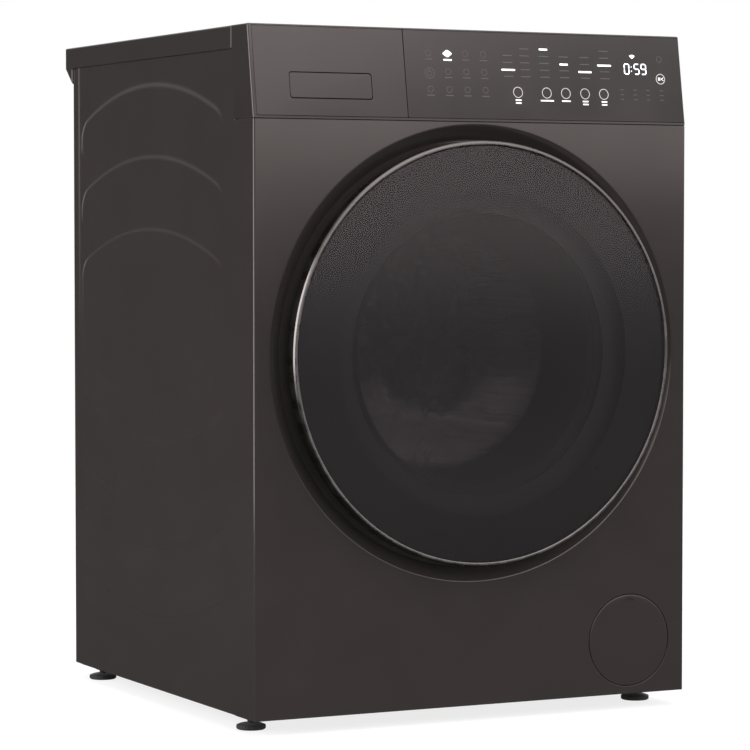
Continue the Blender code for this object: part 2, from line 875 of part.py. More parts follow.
def drum_shaft(look):
    profile = [
        (0, DRUM_SPAN[1] + 0.0065),
        (SHAFT_R, DRUM_SPAN[1] + 0.0065),
        (SHAFT_R, 0.556),
        (0, 0.556),
    ]
    return turned("drum_shaft", profile, along_y(0, AXIS_Z), look, steps=24)


def drum_shell(look):
    """The drum's wall with its inturned front lip."""
    front, back = DRUM_SPAN
    wall = 0.0015
    profile = [
        (0.188, front),
        (0.246, front),
        (DRUM_R, front + 0.006),
        (DRUM_R, back - GAP),
        (DRUM_R - wall, back - GAP),
        (DRUM_R - wall, front + 0.007),
        (0.245, front + wall),
        (0.190, front + wall),
        (0.190, front + 0.010),
        (0.188, front + 0.010),
    ]
    return turned("drum_shell", profile, along_y(0, AXIS_Z), look)


def drum_back(look):
    """The drum's rear disc on its cast spider hub."""
    back = DRUM_SPAN[1]
    profile = [
        (0, back),
        (DRUM_R, back),
        (DRUM_R, back + 0.002),
        (0.060, back + 0.002),
        (0.050, back + 0.006),
        (0, back + 0.006),
    ]
    return turned("drum_back", profile, along_y(0, AXIS_Z), look)


def lifter(name, angle, look):
    """A paddle along the drum's wall, with sloping flanks."""
    base = DRUM_R - 0.0048
    outline = [(-0.030, 0.0), (-0.006, 0.045), (0.006, 0.045), (0.030, 0.0)]
    turn = radians(angle)

    def place(side, rise, depth):
        radius = base - rise
        return (
            radius * cos(turn) - side * sin(turn),
            at(depth),
            AXIS_Z + radius * sin(turn) + side * cos(turn),
        )

    depth = (DRUM_SPAN[0] + 0.012, DRUM_SPAN[1] - 0.004)
    bm = bmesh.new()
    ends = [[bm.verts.new(place(*point, d)) for point in outline] for d in depth]
    bm.faces.new(ends[0])
    bm.faces.new(ends[1][::-1])
    for i in range(len(outline)):
        j = (i + 1) % len(outline)
        bm.faces.new([ends[0][i], ends[0][j], ends[1][j], ends[1][i]])
    return add_object(name, bm, look)


def heater_element(look):
    """A folded heating rod in the sump space under the drum."""
    radius, reach = 0.260, 0.028
    z = AXIS_Z - sqrt(radius**2 - reach**2)
    near, far = at(0.100), at(0.250)
    points = [(-reach, near, z), (-reach, far, z)]
    for i in range(1, 8):
        turn = pi - pi * i / 8
        points.append((reach * cos(turn), far + reach * sin(turn), z))
    points += [(reach, far, z), (reach, near, z)]
    return tube("heater_element", points, 0.0035, look, 1)


# ---------------------------------------------------------------- suspension
def spring_bracket(name, side, look):
    """An angle on the side panel that carries the suspension spring."""
    inner = HALF - RIB_PROUD - SHEET - GAP
    reach = SPRING_X - 0.012
    outline = [
        (side * inner, SPRING_Z[1] - 0.030),
        (side * inner, SPRING_Z[1] + 0.004),
        (side * reach, SPRING_Z[1] + 0.004),
        (side * reach, SPRING_Z[1] + GAP),
        (side * (inner - 0.003), SPRING_Z[1] + GAP),
        (side * (inner - 0.003), SPRING_Z[1] - 0.030),
    ]
    return facing(name, outline, (LUG_Y - 0.025, LUG_Y + 0.025), look)


SPRING_TURNS = 9
SPRING_COIL_R = 0.010


def suspension_spring(name, side, look):
    """A coil between the bracket and the tub's lug, as one wire."""
    low, high = SPRING_Z
    wire = 0.0018
    steps = SPRING_TURNS * 9
    points = []
    for i in range(steps + 1):
        turn = 2 * pi * SPRING_TURNS * i / steps
        z = low + wire + (high - low - 2 * wire) * i / steps
        x = side * SPRING_X + SPRING_COIL_R * cos(turn)
        points.append((x, at(LUG_Y) + SPRING_COIL_R * sin(turn), z))
    return tube(name, points, wire, look, 0)


def damper_cylinder(name, side, look):
    """The damper's lower sleeve, standing on the base."""
    low = FLOOR_GAP + 0.012 + GAP
    profile = [(0, low), (0.017, low), (0.017, 0.150), (0.0095, 0.150), (0.0095, 0.045), (0, 0.045)]
    return turned(name, profile, along_z(side * DAMPER_X, LUG_Y), look, steps=SMALL_STEPS)


def damper_rod(name, side, look):
    """The damper's rod under the tub's lug."""
    profile = [
        (0, 0.070),
        (0.008, 0.070),
        (0.008, ROD_TOP - 0.010),
        (0.011, ROD_TOP - 0.010),
        (0.011, ROD_TOP),
        (0, ROD_TOP),
    ]
    return turned(name, profile, along_z(side * DAMPER_X, LUG_Y), look, steps=SMALL_STEPS)


# ---------------------------------------------------------------- hoses
def sump_hose(look):
    """The rubber hose from the tub's lowest point to the pump."""
    start = Vector((0.060, at(0.160), AXIS_Z - sqrt(TUB_R**2 - 0.060**2) - 0.006))
    stop = Vector((FILTER[0] - 0.041, at(0.110), FILTER[1] - 0.004))
    points = bezier(start, start + Vector((0, 0, -0.07)), stop + Vector((-0.09, 0, 0)), stop, 9)
    return tube("sump_hose", points, 0.013, look, 1)


def fill_hose(look):
    """The hose from the drawer's housing to the top of the tub."""
    start = Vector((-0.195, at(0.3475), 0.7600))
    stop = Vector((-0.150, at(0.440), AXIS_Z + sqrt(TUB_R**2 - 0.150**2) + 0.010))
    points = bezier(start, start + Vector((0, 0.05, 0)), stop + Vector((0, 0, 0.05)), stop, 8)
    return tube("fill_hose", points, 0.009, look, 1)


# ---------------------------------------------------------------- assembly
def build_cabinet(looks):
    base_frame(looks["dark"])
    side_panel("left_side_panel", -1, looks["body"])
    side_panel("right_side_panel", 1, looks["body"])
    rear_panel(looks["zinc"])
    rear_service_cover(looks["zinc"])
    top_panel(looks["body"])
    front_panel(looks["body"])
    console_housing(looks["console"])
    control_glass(looks["glass"])
    control_module(looks["dark"])
    drawer_housing(looks["white"])
    inlet_valve("inlet_valve_cold", INLET_X[0], looks["white"])
    inlet_valve("inlet_valve_hot", INLET_X[1], looks["white"])
    stub("drain_outlet", DRAIN_AT, 0.0125, 0.009, (0.570, 0.606), looks["grey"])
    stub("power_cord_gland", CORD_AT, 0.0085, 0.004, (0.575, 0.600), looks["dark"])
    drain_pump(looks["grey"])
    door_lock(looks["dark"])
    door_hinge_bracket(looks["zinc"])
    door_gasket(looks["rubber"])
    for name, side in (("left", -1), ("right", 1)):
        spring_bracket(f"spring_bracket_{name}", side, looks["zinc"])
        suspension_spring(f"suspension_spring_{name}", side, looks["zinc"])
        damper_cylinder(f"damper_cylinder_{name}", side, looks["dark"])
    sump_hose(looks["black_rubber"])
    fill_hose(looks["black_rubber"])


def build_door(looks):
    pieces = [
        door_ring(looks["ring"]),
        door_glass(looks["glass"]),
        door_inner_frame(looks["dark"]),
        door_bowl(looks["bowl"]),
        door_hinge_arm(looks["zinc"]),
    ]
    pivot("door_axis", (HINGE_X, at(HINGE_Y), AXIS_Z), pieces)
    pivot("hook_axis", (HOOK_AT[0], at(HOOK_AT[1]), AXIS_Z), [door_hook(looks["zinc"])])


def build_tub(looks):
    back = TUB_SPAN[2]
    tub_front(looks["grey"])
    tub_rear(looks["grey"])
    counterweight("counterweight_upper", 28, 152, looks["concrete"])
    counterweight("counterweight_lower", 208, 332, looks["concrete"])
    stator(looks["copper"])
    bearing("front_bearing", (back - 0.011, back + 0.0017), looks["steel"])
    bearing("rear_bearing", (back + 0.0283, back + 0.041), looks["steel"])
    heater_element(looks["zinc"])
    damper_rod("damper_rod_left", -1, looks["zinc"])
    damper_rod("damper_rod_right", 1, looks["zinc"])


def build_drum(looks):
    pieces = [
        drum_shell(looks["steel"]),
        drum_back(looks["steel"]),
        drum_shaft(looks["steel"]),
        rotor(looks["zinc"]),
    ]
    for index, angle in enumerate((90, 210, 330), 1):
        pieces.append(lifter(f"lifter_{index}", angle, looks["grey"]))
    pivot("drum_axis", (0, at(DRUM_SPAN[1]), AXIS_Z), pieces)


def build_drawer(looks):
    detergent_drawer(looks["white"])
    drawer_front(looks["console"])
    flap = drawer_flap(looks["console"])
    pivot("flap_axis", (sum(FLAP_X) / 2, at(slope(FLAP_Z[1]) + 0.0015), FLAP_Z[1] - 0.0012), [flap])


def build_pump(looks):
    x, z = FILTER
    pivot("filter_axis", (x, at(0.060), z), [pump_filter(looks["dark"])])
    pivot("impeller_axis", (x, at(0.128), z), [pump_impeller(looks["dark"])])
    pivot("hatch_axis", (x, at(-0.0005), z - FILTER_R), [filter_cover(looks["body"])])


def build_feet(looks):
    for depth_name, depth in zip(("front", "rear"), FOOT_Y):
        for side_name, side in (("left", -1), ("right", 1)):
            foot(f"foot_{depth_name}_{side_name}", side * FOOT_X, depth, looks["black_rubber"])


def main():
    clear_scene()
    looks = make_looks()
    build_cabinet(looks)
    build_door(looks)
    build_tub(looks)
    build_drum(looks)
    build_drawer(looks)
    build_pump(looks)
    build_feet(looks)


main()
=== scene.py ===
# %% [markdown]
# A front load washing machine, dressed for its close-up.
#
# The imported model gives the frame: where each body sits and which way it moves. This script keeps
# every working part that looks right, gives it a finish, and models finer stand-ins for the skins
# that people see: the pressed side panels, the dished front, the console, the glass door and the
# drum behind it. Every length is in metres, +Z is up and the door faces -Y.

# %% Load the frame and keep its box
from math import atan2, cos, hypot, pi, radians, sin, sqrt, tan

import bmesh
import bpy
from mathutils import Matrix, Vector


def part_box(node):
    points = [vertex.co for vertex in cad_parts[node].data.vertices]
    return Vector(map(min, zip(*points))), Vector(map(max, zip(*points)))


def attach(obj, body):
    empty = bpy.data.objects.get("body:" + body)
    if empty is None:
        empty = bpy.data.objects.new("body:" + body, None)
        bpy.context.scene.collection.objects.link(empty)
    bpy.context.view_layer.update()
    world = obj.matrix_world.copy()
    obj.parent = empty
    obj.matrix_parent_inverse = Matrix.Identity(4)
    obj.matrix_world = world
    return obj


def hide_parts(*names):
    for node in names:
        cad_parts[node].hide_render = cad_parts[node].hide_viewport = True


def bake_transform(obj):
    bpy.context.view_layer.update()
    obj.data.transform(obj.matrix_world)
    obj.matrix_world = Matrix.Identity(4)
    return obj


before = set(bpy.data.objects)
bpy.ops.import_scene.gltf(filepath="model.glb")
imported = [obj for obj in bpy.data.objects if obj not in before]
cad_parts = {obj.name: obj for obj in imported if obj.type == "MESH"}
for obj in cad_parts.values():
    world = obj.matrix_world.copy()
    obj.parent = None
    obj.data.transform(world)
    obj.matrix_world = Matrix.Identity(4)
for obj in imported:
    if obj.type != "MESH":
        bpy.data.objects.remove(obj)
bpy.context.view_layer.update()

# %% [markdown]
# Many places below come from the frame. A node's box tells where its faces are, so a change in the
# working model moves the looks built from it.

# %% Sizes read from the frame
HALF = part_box("front_panel")[1][0]
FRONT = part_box("front_panel")[0][1]
PANEL_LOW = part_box("front_panel")[0][2]
PANEL_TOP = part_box("front_panel")[1][2]
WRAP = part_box("front_panel")[1][1] - FRONT
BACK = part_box("rear_panel")[1][1] - FRONT
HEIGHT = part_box("top_panel")[1][2]
LID_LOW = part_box("left_side_panel")[1][2]
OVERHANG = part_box("top_panel")[1][1] - FRONT
CONSOLE_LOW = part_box("console_housing")[0][2]
CONSOLE_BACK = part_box("console_housing")[1][1] - FRONT
RING_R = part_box("door_ring")[1][0]
DOOR_Z = (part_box("door_ring")[0][2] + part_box("door_ring")[1][2]) / 2
RING_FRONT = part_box("door_ring")[0][1] - FRONT
RING_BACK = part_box("door_ring")[1][1] - FRONT
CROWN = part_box("door_glass")[0][1] - FRONT
GLASS_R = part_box("door_glass")[1][0]
DRUM_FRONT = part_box("drum_shell")[0][1] - FRONT
DRUM_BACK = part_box("drum_shell")[1][1] - FRONT
DRUM_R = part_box("drum_shell")[1][0]
HATCH_R = (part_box("filter_cover")[1][0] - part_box("filter_cover")[0][0]) / 2
HATCH_X = (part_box("filter_cover")[1][0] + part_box("filter_cover")[0][0]) / 2
HATCH_Z = (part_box("filter_cover")[1][2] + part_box("filter_cover")[0][2]) / 2
SHEET = 0.0015
DISH_RIM_R, DISH_FOOT_R, DISH_DEPTH = 0.2795, 0.262, 0.012
MOUTH_R, MOUTH_LIP = 0.185, 0.034
print("front plane", round(FRONT, 4), "door centre", round(DOOR_Z, 4), "door radius", round(RING_R, 4))

# %% [markdown]
# An operator works on whatever is selected, and loading the frame leaves its nodes selected. So the
# first helpers clear the selection and pick one piece. `at` turns a depth behind the front panel
# into a world place, which keeps the numbers small and easy to compare with a tape measure.

# %% Selection and placing helpers
def at(depth):
    return FRONT + depth


def clear_selection():
    if bpy.context.mode != "OBJECT":
        bpy.ops.object.mode_set(mode="OBJECT")
    bpy.ops.object.select_all(action="DESELECT")


def pick(piece):
    clear_selection()
    piece.select_set(True)
    bpy.context.view_layer.objects.active = piece


def edit(piece, mode="VERT"):
    pick(piece)
    bpy.ops.object.mode_set(mode="EDIT")
    bpy.ops.mesh.select_mode(type=mode)


def settle(piece):
    """Leaves edit mode and puts the piece's place into its mesh."""
    pick(piece)
    bpy.ops.object.transform_apply(location=True, rotation=True, scale=True)
    return piece


def apply(piece, kind, **values):
    """Adds a modifier with these values and applies it."""
    pick(piece)
    step = piece.modifiers.new(kind.title(), kind)
    for name, value in values.items():
        setattr(step, name, value)
    bpy.ops.object.modifier_apply(modifier=step.name)
    return piece


def bevel(piece, width, segments=3, angle=35):
    return apply(piece, "BEVEL", width=width, segments=segments, limit_method="ANGLE",
                 angle_limit=radians(angle), miter_outer="MITER_ARC", harden_normals=False)


def carve(piece, *cutters, how="DIFFERENCE"):
    """Cuts with other pieces, or joins them on, and removes them."""
    for cutter in cutters:
        apply(piece, "BOOLEAN", object=cutter, operation=how, solver="EXACT")
        bpy.data.objects.remove(cutter)
    return piece


def smooth(piece, angle=32):
    pick(piece)
    bpy.ops.object.shade_smooth_by_angle(angle=radians(angle))
    return piece


def flatten(piece, angle=32):
    """Smooths the bevels but lets the large faces keep their own flat shading."""
    return apply(smooth(piece, angle), "WEIGHTED_NORMAL", keep_sharp=True, weight=100)


def mend(piece, gap=0.000002):
    """Merges doubled points and turns every face outwards."""
    edit(piece)
    bpy.ops.mesh.select_all(action="SELECT")
    bpy.ops.mesh.remove_doubles(threshold=gap)
    bpy.ops.mesh.normals_make_consistent(inside=False)
    clear_selection()
    return piece


# %% [markdown]
# Most parts of this machine are either turned, like the door, or pressed from an outline. Both
# start the same way: a plane shrunk to one point, which is extruded along a line of places. A place
# may carry a radius, and then its corner is rounded with a short curve.

# %% Tracing, turning and pressing
def soften(line, steps=5):
    """Rounds the corners of a 2-D line whose points carry a radius as their third value."""
    points = []
    for index, point in enumerate(line):
        here = Vector(point[:2])
        if len(point) == 2 or index in (0, len(line) - 1):
            points.append(here)
            continue
        before = Vector(line[index - 1][:2]) - here
        after = Vector(line[index + 1][:2]) - here
        reach = point[2] / max(tan(before.angle(after) / 2), 0.05)
        reach = min(reach, 0.48 * before.length, 0.48 * after.length)
        start, stop = here + before.normalized() * reach, here + after.normalized() * reach
        for step in range(steps + 1):
            t = step / steps
            points.append(start * (1 - t) ** 2 + here * 2 * t * (1 - t) + stop * t * t)
    return points


def trace(name, places, closed=False):
    """Extrudes a single point along a list of places."""
    clear_selection()
    bpy.ops.mesh.primitive_plane_add(size=0.001, location=places[0])
    piece = settle(bpy.context.object)
    piece.name = piece.data.name = name
    edit(piece)
    bpy.ops.mesh.select_all(action="SELECT")
    bpy.ops.mesh.merge(type="CENTER")
    for here, there in zip(places, places[1:]):
        step = Vector(there) - Vector(here)
        bpy.ops.mesh.extrude_region_move(TRANSFORM_OT_translate={"value": step})
    if closed:
        bpy.ops.mesh.select_all(action="SELECT")
        bpy.ops.mesh.edge_face_add()
    return piece


def turn(name, profile, centre=(0, 0), steps=160, axis="Y", shut=False):
    """Spins a profile of (radius, distance) points about an axis through centre."""
    line = soften(profile + ([profile[0]] if shut else []))
    if axis == "Y":
        places = [(centre[0] + r, at(d), centre[1]) for r, d in line]
        middle, way = (centre[0], 0, centre[1]), (0, 1, 0)
    else:
        places = [(centre[0] + r, at(centre[1]), d) for r, d in line]
        middle, way = (centre[0], at(centre[1]), 0), (0, 0, 1)
    piece = trace(name, places)
    bpy.ops.mesh.select_all(action="SELECT")
    bpy.ops.mesh.spin(steps=steps, angle=2 * pi, center=middle, axis=way)
    return smooth(mend(piece))


def press(name, places, travel):
    """Fills a closed outline of world places and pulls it into a solid."""
    piece = trace(name, places, closed=True)
    bpy.ops.mesh.extrude_region_move(TRANSFORM_OT_translate={"value": travel})
    return mend(piece)


def block(name, x, depth, z, width=0.0, segments=2):
    """A box between two values on each axis, with rounded edges."""
    clear_selection()
    centre = ((x[0] + x[1]) / 2, at((depth[0] + depth[1]) / 2), (z[0] + z[1]) / 2)
    bpy.ops.mesh.primitive_cube_add(size=1, location=centre)
    piece = bpy.context.object
    piece.scale = (x[1] - x[0], depth[1] - depth[0], z[1] - z[0])
    piece.name = piece.data.name = name
    settle(piece)
    return smooth(bevel(piece, width, segments)) if width else piece


def drum_of(name, centre, radius, depth, steps=48):
    """A plain cylinder along Y, used as a cutter or a blank."""
    return turn(name, [(0, depth[0]), (radius, depth[0]), (radius, depth[1]), (0, depth[1])], centre, steps)


def join(name, pieces):
    """Makes one mesh of several, without merging them."""
    clear_selection()
    for piece in pieces:
        piece.select_set(True)
    bpy.context.view_layer.objects.active = pieces[0]
    bpy.ops.object.join()
    pieces[0].name = pieces[0].data.name = name
    return pieces[0]


# %% [markdown]
# A finished piece is given its finish and hung on the body it rides on, and the working parts it
# stands for are hidden.

# %% Handing a piece over
def place(piece, finish, body, slot, *stands_for):
    pick(piece)
    piece.data.materials.clear()
    piece.data.materials.append(finish)
    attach(piece, body)
    if stands_for:
        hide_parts(*stands_for)
    return piece


def dress(finish, *nodes):
    """Gives working parts that keep their own shape a finish."""
    for name in nodes:
        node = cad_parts[name]
        node.data.materials.clear()
        node.data.materials.append(finish)


# %% [markdown]
# ## Finishes
# The enamel is a baked powder coat with a very fine orange peel. It is nearly black-brown, and a
# smooth clear top coat gives it the long soft gradients seen on the front. Roughness wanders a
# little from place to place, as it does on a panel that has been wiped by hand.

# %% The node helper and the enamel
def start_material(name, colour, roughness, metallic=0.0, **sockets):
    made = bpy.data.materials.new(name)
    made.use_nodes = True
    shader = made.node_tree.nodes["Principled BSDF"]
    shader.inputs["Base Color"].default_value = (*colour, 1)
    shader.inputs["Roughness"].default_value = roughness
    shader.inputs["Metallic"].default_value = metallic
    for socket, value in sockets.items():
        shader.inputs[socket.replace("_", " ")].default_value = value
    return made


def add_node(made, kind, **values):
    node = made.node_tree.nodes.new(kind)
    for name, value in values.items():
        if name in node.inputs:
            node.inputs[name].default_value = value
        else:
            setattr(node, name, value)
    return node


def wire(made, source, target):
    made.node_tree.links.new(source, target)


def grain(made, kind="ShaderNodeTexNoise", stretch=(1, 1, 1), **values):
    """A texture on the piece's own coordinates, stretched along its axes."""
    where = add_node(made, "ShaderNodeTexCoord")
    mapping = add_node(made, "ShaderNodeMapping")
    mapping.inputs["Scale"].default_value = stretch
    wire(made, where.outputs["Object"], mapping.inputs["Vector"])
    texture = add_node(made, kind, **values)
    wire(made, mapping.outputs["Vector"], texture.inputs["Vector"])
    return texture


def vary(made, value, socket, low, high, span=(0.3, 0.7)):
    """Drives a number socket between two values."""
    ranged = add_node(made, "ShaderNodeMapRange")
    ranged.inputs["From Min"].default_value, ranged.inputs["From Max"].default_value = span
    ranged.inputs["To Min"].default_value, ranged.inputs["To Max"].default_value = low, high
    wire(made, value, ranged.inputs["Value"])
    wire(made, ranged.outputs["Result"], made.node_tree.nodes["Principled BSDF"].inputs[socket])


def tint(made, value, dark, light, span=(0.3, 0.7)):
    """Drives the colour between two tones."""
    ramp = add_node(made, "ShaderNodeValToRGB")
    ramp.color_ramp.elements[0].position, ramp.color_ramp.elements[1].position = span
    ramp.color_ramp.elements[0].color = (*dark, 1)
    ramp.color_ramp.elements[1].color = (*light, 1)
    wire(made, value, ramp.inputs["Fac"])
    wire(made, ramp.outputs["Color"], made.node_tree.nodes["Principled BSDF"].inputs["Base Color"])


def relief(made, value, strength, distance=0.0002):
    bump = add_node(made, "ShaderNodeBump")
    bump.inputs["Strength"].default_value = strength
    bump.inputs["Distance"].default_value = distance
    wire(made, value, bump.inputs["Height"])
    wire(made, bump.outputs["Normal"], made.node_tree.nodes["Principled BSDF"].inputs["Normal"])


ENAMEL_RGB = (0.0268, 0.0230, 0.0220)
WARM_GLOSS = (1.0, 0.87, 0.87, 1.0)


def enamel(name="baked_enamel", rough=0.10):
    made = start_material(name, ENAMEL_RGB, rough, Specular_Tint=WARM_GLOSS)
    wander = grain(made, Scale=6.0, Detail=3.0)
    vary(made, wander.outputs["Fac"], "Roughness", rough - 0.02, rough + 0.03)
    drift = grain(made, Scale=14.0, Detail=2.0)
    tint(made, drift.outputs["Fac"], [v * 0.96 for v in ENAMEL_RGB], [v * 1.05 for v in ENAMEL_RGB])
    peel = grain(made, Scale=900.0, Detail=1.0)
    relief(made, peel.outputs["Fac"], 0.015, 0.0001)
    return made


ENAMEL = enamel()
print("finish", ENAMEL.name)

# %% [markdown]
# The other finishes follow the same pattern: one shader, one grain, and a small amount of drift.
# Moulded plastic has a spark-eroded texture, rubber is dull with a dusty bloom, galvanised sheet
# shows its zinc crystals, and the drum's stainless steel is drawn lengthways.

# %% Plastics, rubber and metals
def moulded(name, rgb, rough, texture=1400.0, depth=0.08, **sockets):
    made = start_material(name, rgb, rough, **sockets)
    drift = grain(made, Scale=9.0, Detail=3.0)
    tint(made, drift.outputs["Fac"], [v * 0.93 for v in rgb], [v * 1.07 for v in rgb])
    vary(made, drift.outputs["Fac"], "Roughness", rough - 0.03, rough + 0.05)
    spark = grain(made, Scale=texture, Detail=2.0)
    relief(made, spark.outputs["Fac"], depth, 0.0001)
    return made


def drawn_metal(name, rgb, rough, stretch, metallic=1.0):
    made = start_material(name, rgb, rough, metallic)
    lines = grain(made, stretch=stretch, Scale=60.0, Detail=4.0)
    vary(made, lines.outputs["Fac"], "Roughness", rough - 0.05, rough + 0.09)
    tint(made, lines.outputs["Fac"], [v * 0.9 for v in rgb], [v * 1.06 for v in rgb])
    relief(made, lines.outputs["Fac"], 0.04, 0.0001)
    return made


def galvanised(name="galvanised_sheet"):
    made = start_material(name, (0.36, 0.37, 0.38), 0.42, 1.0)
    crystals = grain(made, "ShaderNodeTexVoronoi", Scale=150.0, Randomness=1.0)
    tint(made, crystals.outputs["Color"], (0.33, 0.34, 0.35), (0.41, 0.42, 0.43), (0.2, 0.8))
    vary(made, crystals.outputs["Distance"], "Roughness", 0.34, 0.50, (0.0, 0.6))
    wear = grain(made, Scale=300.0, Detail=3.0)
    relief(made, wear.outputs["Fac"], 0.05, 0.0001)
    return made


def rubber(name, rgb, rough=0.62):
    made = start_material(name, rgb, rough, Sheen_Weight=0.12, Sheen_Roughness=0.5)
    bloom = grain(made, Scale=22.0, Detail=5.0)
    tint(made, bloom.outputs["Fac"], [v * 0.82 for v in rgb], [v * 1.18 for v in rgb])
    vary(made, bloom.outputs["Fac"], "Roughness", rough - 0.07, rough + 0.1)
    skin = grain(made, Scale=700.0, Detail=2.0)
    relief(made, skin.outputs["Fac"], 0.10, 0.0001)
    return made


def cast_block():
    made = start_material("cast_block", (0.27, 0.26, 0.24), 0.9)
    stones = grain(made, "ShaderNodeTexVoronoi", Scale=190.0, Randomness=1.0)
    tint(made, stones.outputs["Color"], (0.15, 0.145, 0.135), (0.36, 0.35, 0.32), (0.1, 0.9))
    pits = grain(made, Scale=140.0, Detail=6.0)
    relief(made, pits.outputs["Fac"], 0.5, 0.001)
    return made


def windings():
    made = start_material("stator_windings", (0.42, 0.15, 0.06), 0.35, 0.9)
    turns = grain(made, "ShaderNodeTexWave", stretch=(1, 1, 1), Scale=170.0, Distortion=0.6)
    tint(made, turns.outputs["Color"], (0.20, 0.065, 0.03), (0.55, 0.21, 0.09), (0.1, 0.9))
    relief(made, turns.outputs["Color"], 0.5, 0.0006)
    return made


FASCIA = moulded("gloss_fascia", (0.0245, 0.0212, 0.0208), 0.09, 500.0, 0.006, Specular_Tint=WARM_GLOSS)
DARK = moulded("dark_moulding", (0.016, 0.016, 0.017), 0.42)
GREY = moulded("grey_moulding", (0.20, 0.20, 0.20), 0.45)
WHITE = moulded("white_moulding", (0.62, 0.62, 0.60), 0.40)
BLUE = moulded("blue_moulding", (0.02, 0.09, 0.35), 0.42)
RED = moulded("red_moulding", (0.40, 0.02, 0.02), 0.42)
SEAL = rubber("grey_seal_rubber", (0.075, 0.073, 0.074))
BLACK_RUBBER = rubber("black_rubber", (0.011, 0.011, 0.011))
ZINC = galvanised()
STAINLESS = drawn_metal("drum_stainless", (0.56, 0.55, 0.54), 0.24, (1.0, 0.05, 1.0))
BRIGHT_STEEL = drawn_metal("bright_steel", (0.50, 0.50, 0.49), 0.28, (1.0, 1.0, 0.1))
TRIM = drawn_metal("satin_trim", (0.150, 0.135, 0.132), 0.26, (1.0, 0.2, 1.0))
STONE = cast_block()
COPPER = windings()
print("finishes", len(bpy.data.materials))

# %% [markdown]
# Glass comes in three sorts. The door's outer pane is smoked and the bowl behind it is clear. Both
# are built as a mix: part of what is seen is the pane's own surface, and the rest goes straight
# through, tinted. Real smoked glass also dims the light that falls in. Here the lamps pass it
# undimmed, so that the drum isn't lost in the dark. The third sort, on the console, is printed
# black on its back, so it is a solid gloss with light showing where it is lit.

# %% Glass and light
def see_through(name, colour, body, rough, share, gloss):
    """A tinted pane under a mirror-like surface, which the light itself passes freely."""
    made = start_material(name, body, rough, Specular_Tint=WARM_GLOSS, Specular_IOR_Level=gloss)
    shader = made.node_tree.nodes["Principled BSDF"]
    through = add_node(made, "ShaderNodeBsdfTransparent")
    through.inputs["Color"].default_value = (*colour, 1)
    edge = add_node(made, "ShaderNodeFresnel")
    edge.inputs["IOR"].default_value = 1.5
    cover = add_node(made, "ShaderNodeMapRange")
    cover.inputs["To Min"].default_value = share
    cover.inputs["To Max"].default_value = 1.0
    mix = add_node(made, "ShaderNodeMixShader")
    wire(made, edge.outputs["Fac"], cover.inputs["Value"])
    wire(made, cover.outputs["Result"], mix.inputs["Fac"])
    wire(made, through.outputs["BSDF"], mix.inputs[1])
    wire(made, shader.outputs["BSDF"], mix.inputs[2])
    path = add_node(made, "ShaderNodeLightPath")
    unhindered = add_node(made, "ShaderNodeBsdfTransparent")
    pane = add_node(made, "ShaderNodeMixShader")
    wire(made, path.outputs["Is Shadow Ray"], pane.inputs["Fac"])
    wire(made, mix.outputs["Shader"], pane.inputs[1])
    wire(made, unhindered.outputs["BSDF"], pane.inputs[2])
    wire(made, pane.outputs["Shader"], made.node_tree.nodes["Material Output"].inputs["Surface"])
    return made


def lamp_print(name, rgb, glow):
    made = start_material(name, rgb, 0.4)
    shader = made.node_tree.nodes["Principled BSDF"]
    shader.inputs["Emission Color"].default_value = (*rgb, 1)
    shader.inputs["Emission Strength"].default_value = glow
    return made


SMOKED = see_through("smoked_door_glass", (0.80, 0.77, 0.78), (0.0265, 0.0253, 0.0262), 0.16, 0.22, 0.58)
CLEAR = see_through("clear_bowl_glass", (0.98, 0.99, 0.99), (0.02, 0.02, 0.02), 0.03, 0.30, 1.0)
TOUCH_GLASS = moulded("printed_touch_glass", (0.0190, 0.0165, 0.0165), 0.08, 400.0, 0.004,
                       Specular_Tint=WARM_GLOSS)
PRINT = moulded("black_glass_print", (0.0045, 0.004, 0.004), 0.30, 700.0, 0.01)
LIT = lamp_print("lit_white", (0.92, 0.95, 1.0), 1.1)
SOFT_LIT = lamp_print("lit_soft", (0.80, 0.80, 0.82), 0.45)
DIM_LIT = lamp_print("lit_dim", (0.55, 0.53, 0.53), 0.35)
FAINT = lamp_print("unlit_print", (0.062, 0.056, 0.056), 0.0)
print("glass and light ready")

# %% [markdown]
# ## The front
# The front panel is one pressing: a sheet folded round both corners with a wide, shallow dish
# round the door. A flat sheet is made first and its holes are cut. The dish is turned separately,
# with as many points on its rim as the hole has, and the two rims are then merged into one skin.

# %% Front panel
RIM_STEPS = 240
RIM_R = 0.2818
HATCH_RIM_R = HATCH_R + 0.0022


def corner_line():
    """The folded sheet's line in plan, from the left wrap to the right wrap."""
    left = [(-HALF, WRAP), (-HALF, 0, 0.0042), (-0.25, 0)]
    right = [(0.25, 0), (HALF, 0, 0.0042), (HALF, WRAP)]
    return soften(left, 6) + soften(right, 6)


def cut_rim(piece, radius, centre, steps):
    """Cuts a round hole and removes the wall that the cut leaves."""
    cutter = drum_of("cutter", centre, radius, (-0.01, 0.01), steps)
    carve(piece, cutter)
    edit(piece, "FACE")
    bpy.ops.mesh.select_all(action="DESELECT")
    clear_selection()
    for face in piece.data.polygons:
        away = hypot(face.center.x - centre[0], face.center.z - centre[1])
        face.select = abs(away - radius) < 0.0004 and abs(face.normal.y) < 0.5 and face.center.y < at(0.004)
    edit(piece, "FACE")
    bpy.ops.mesh.delete(type="FACE")
    clear_selection()


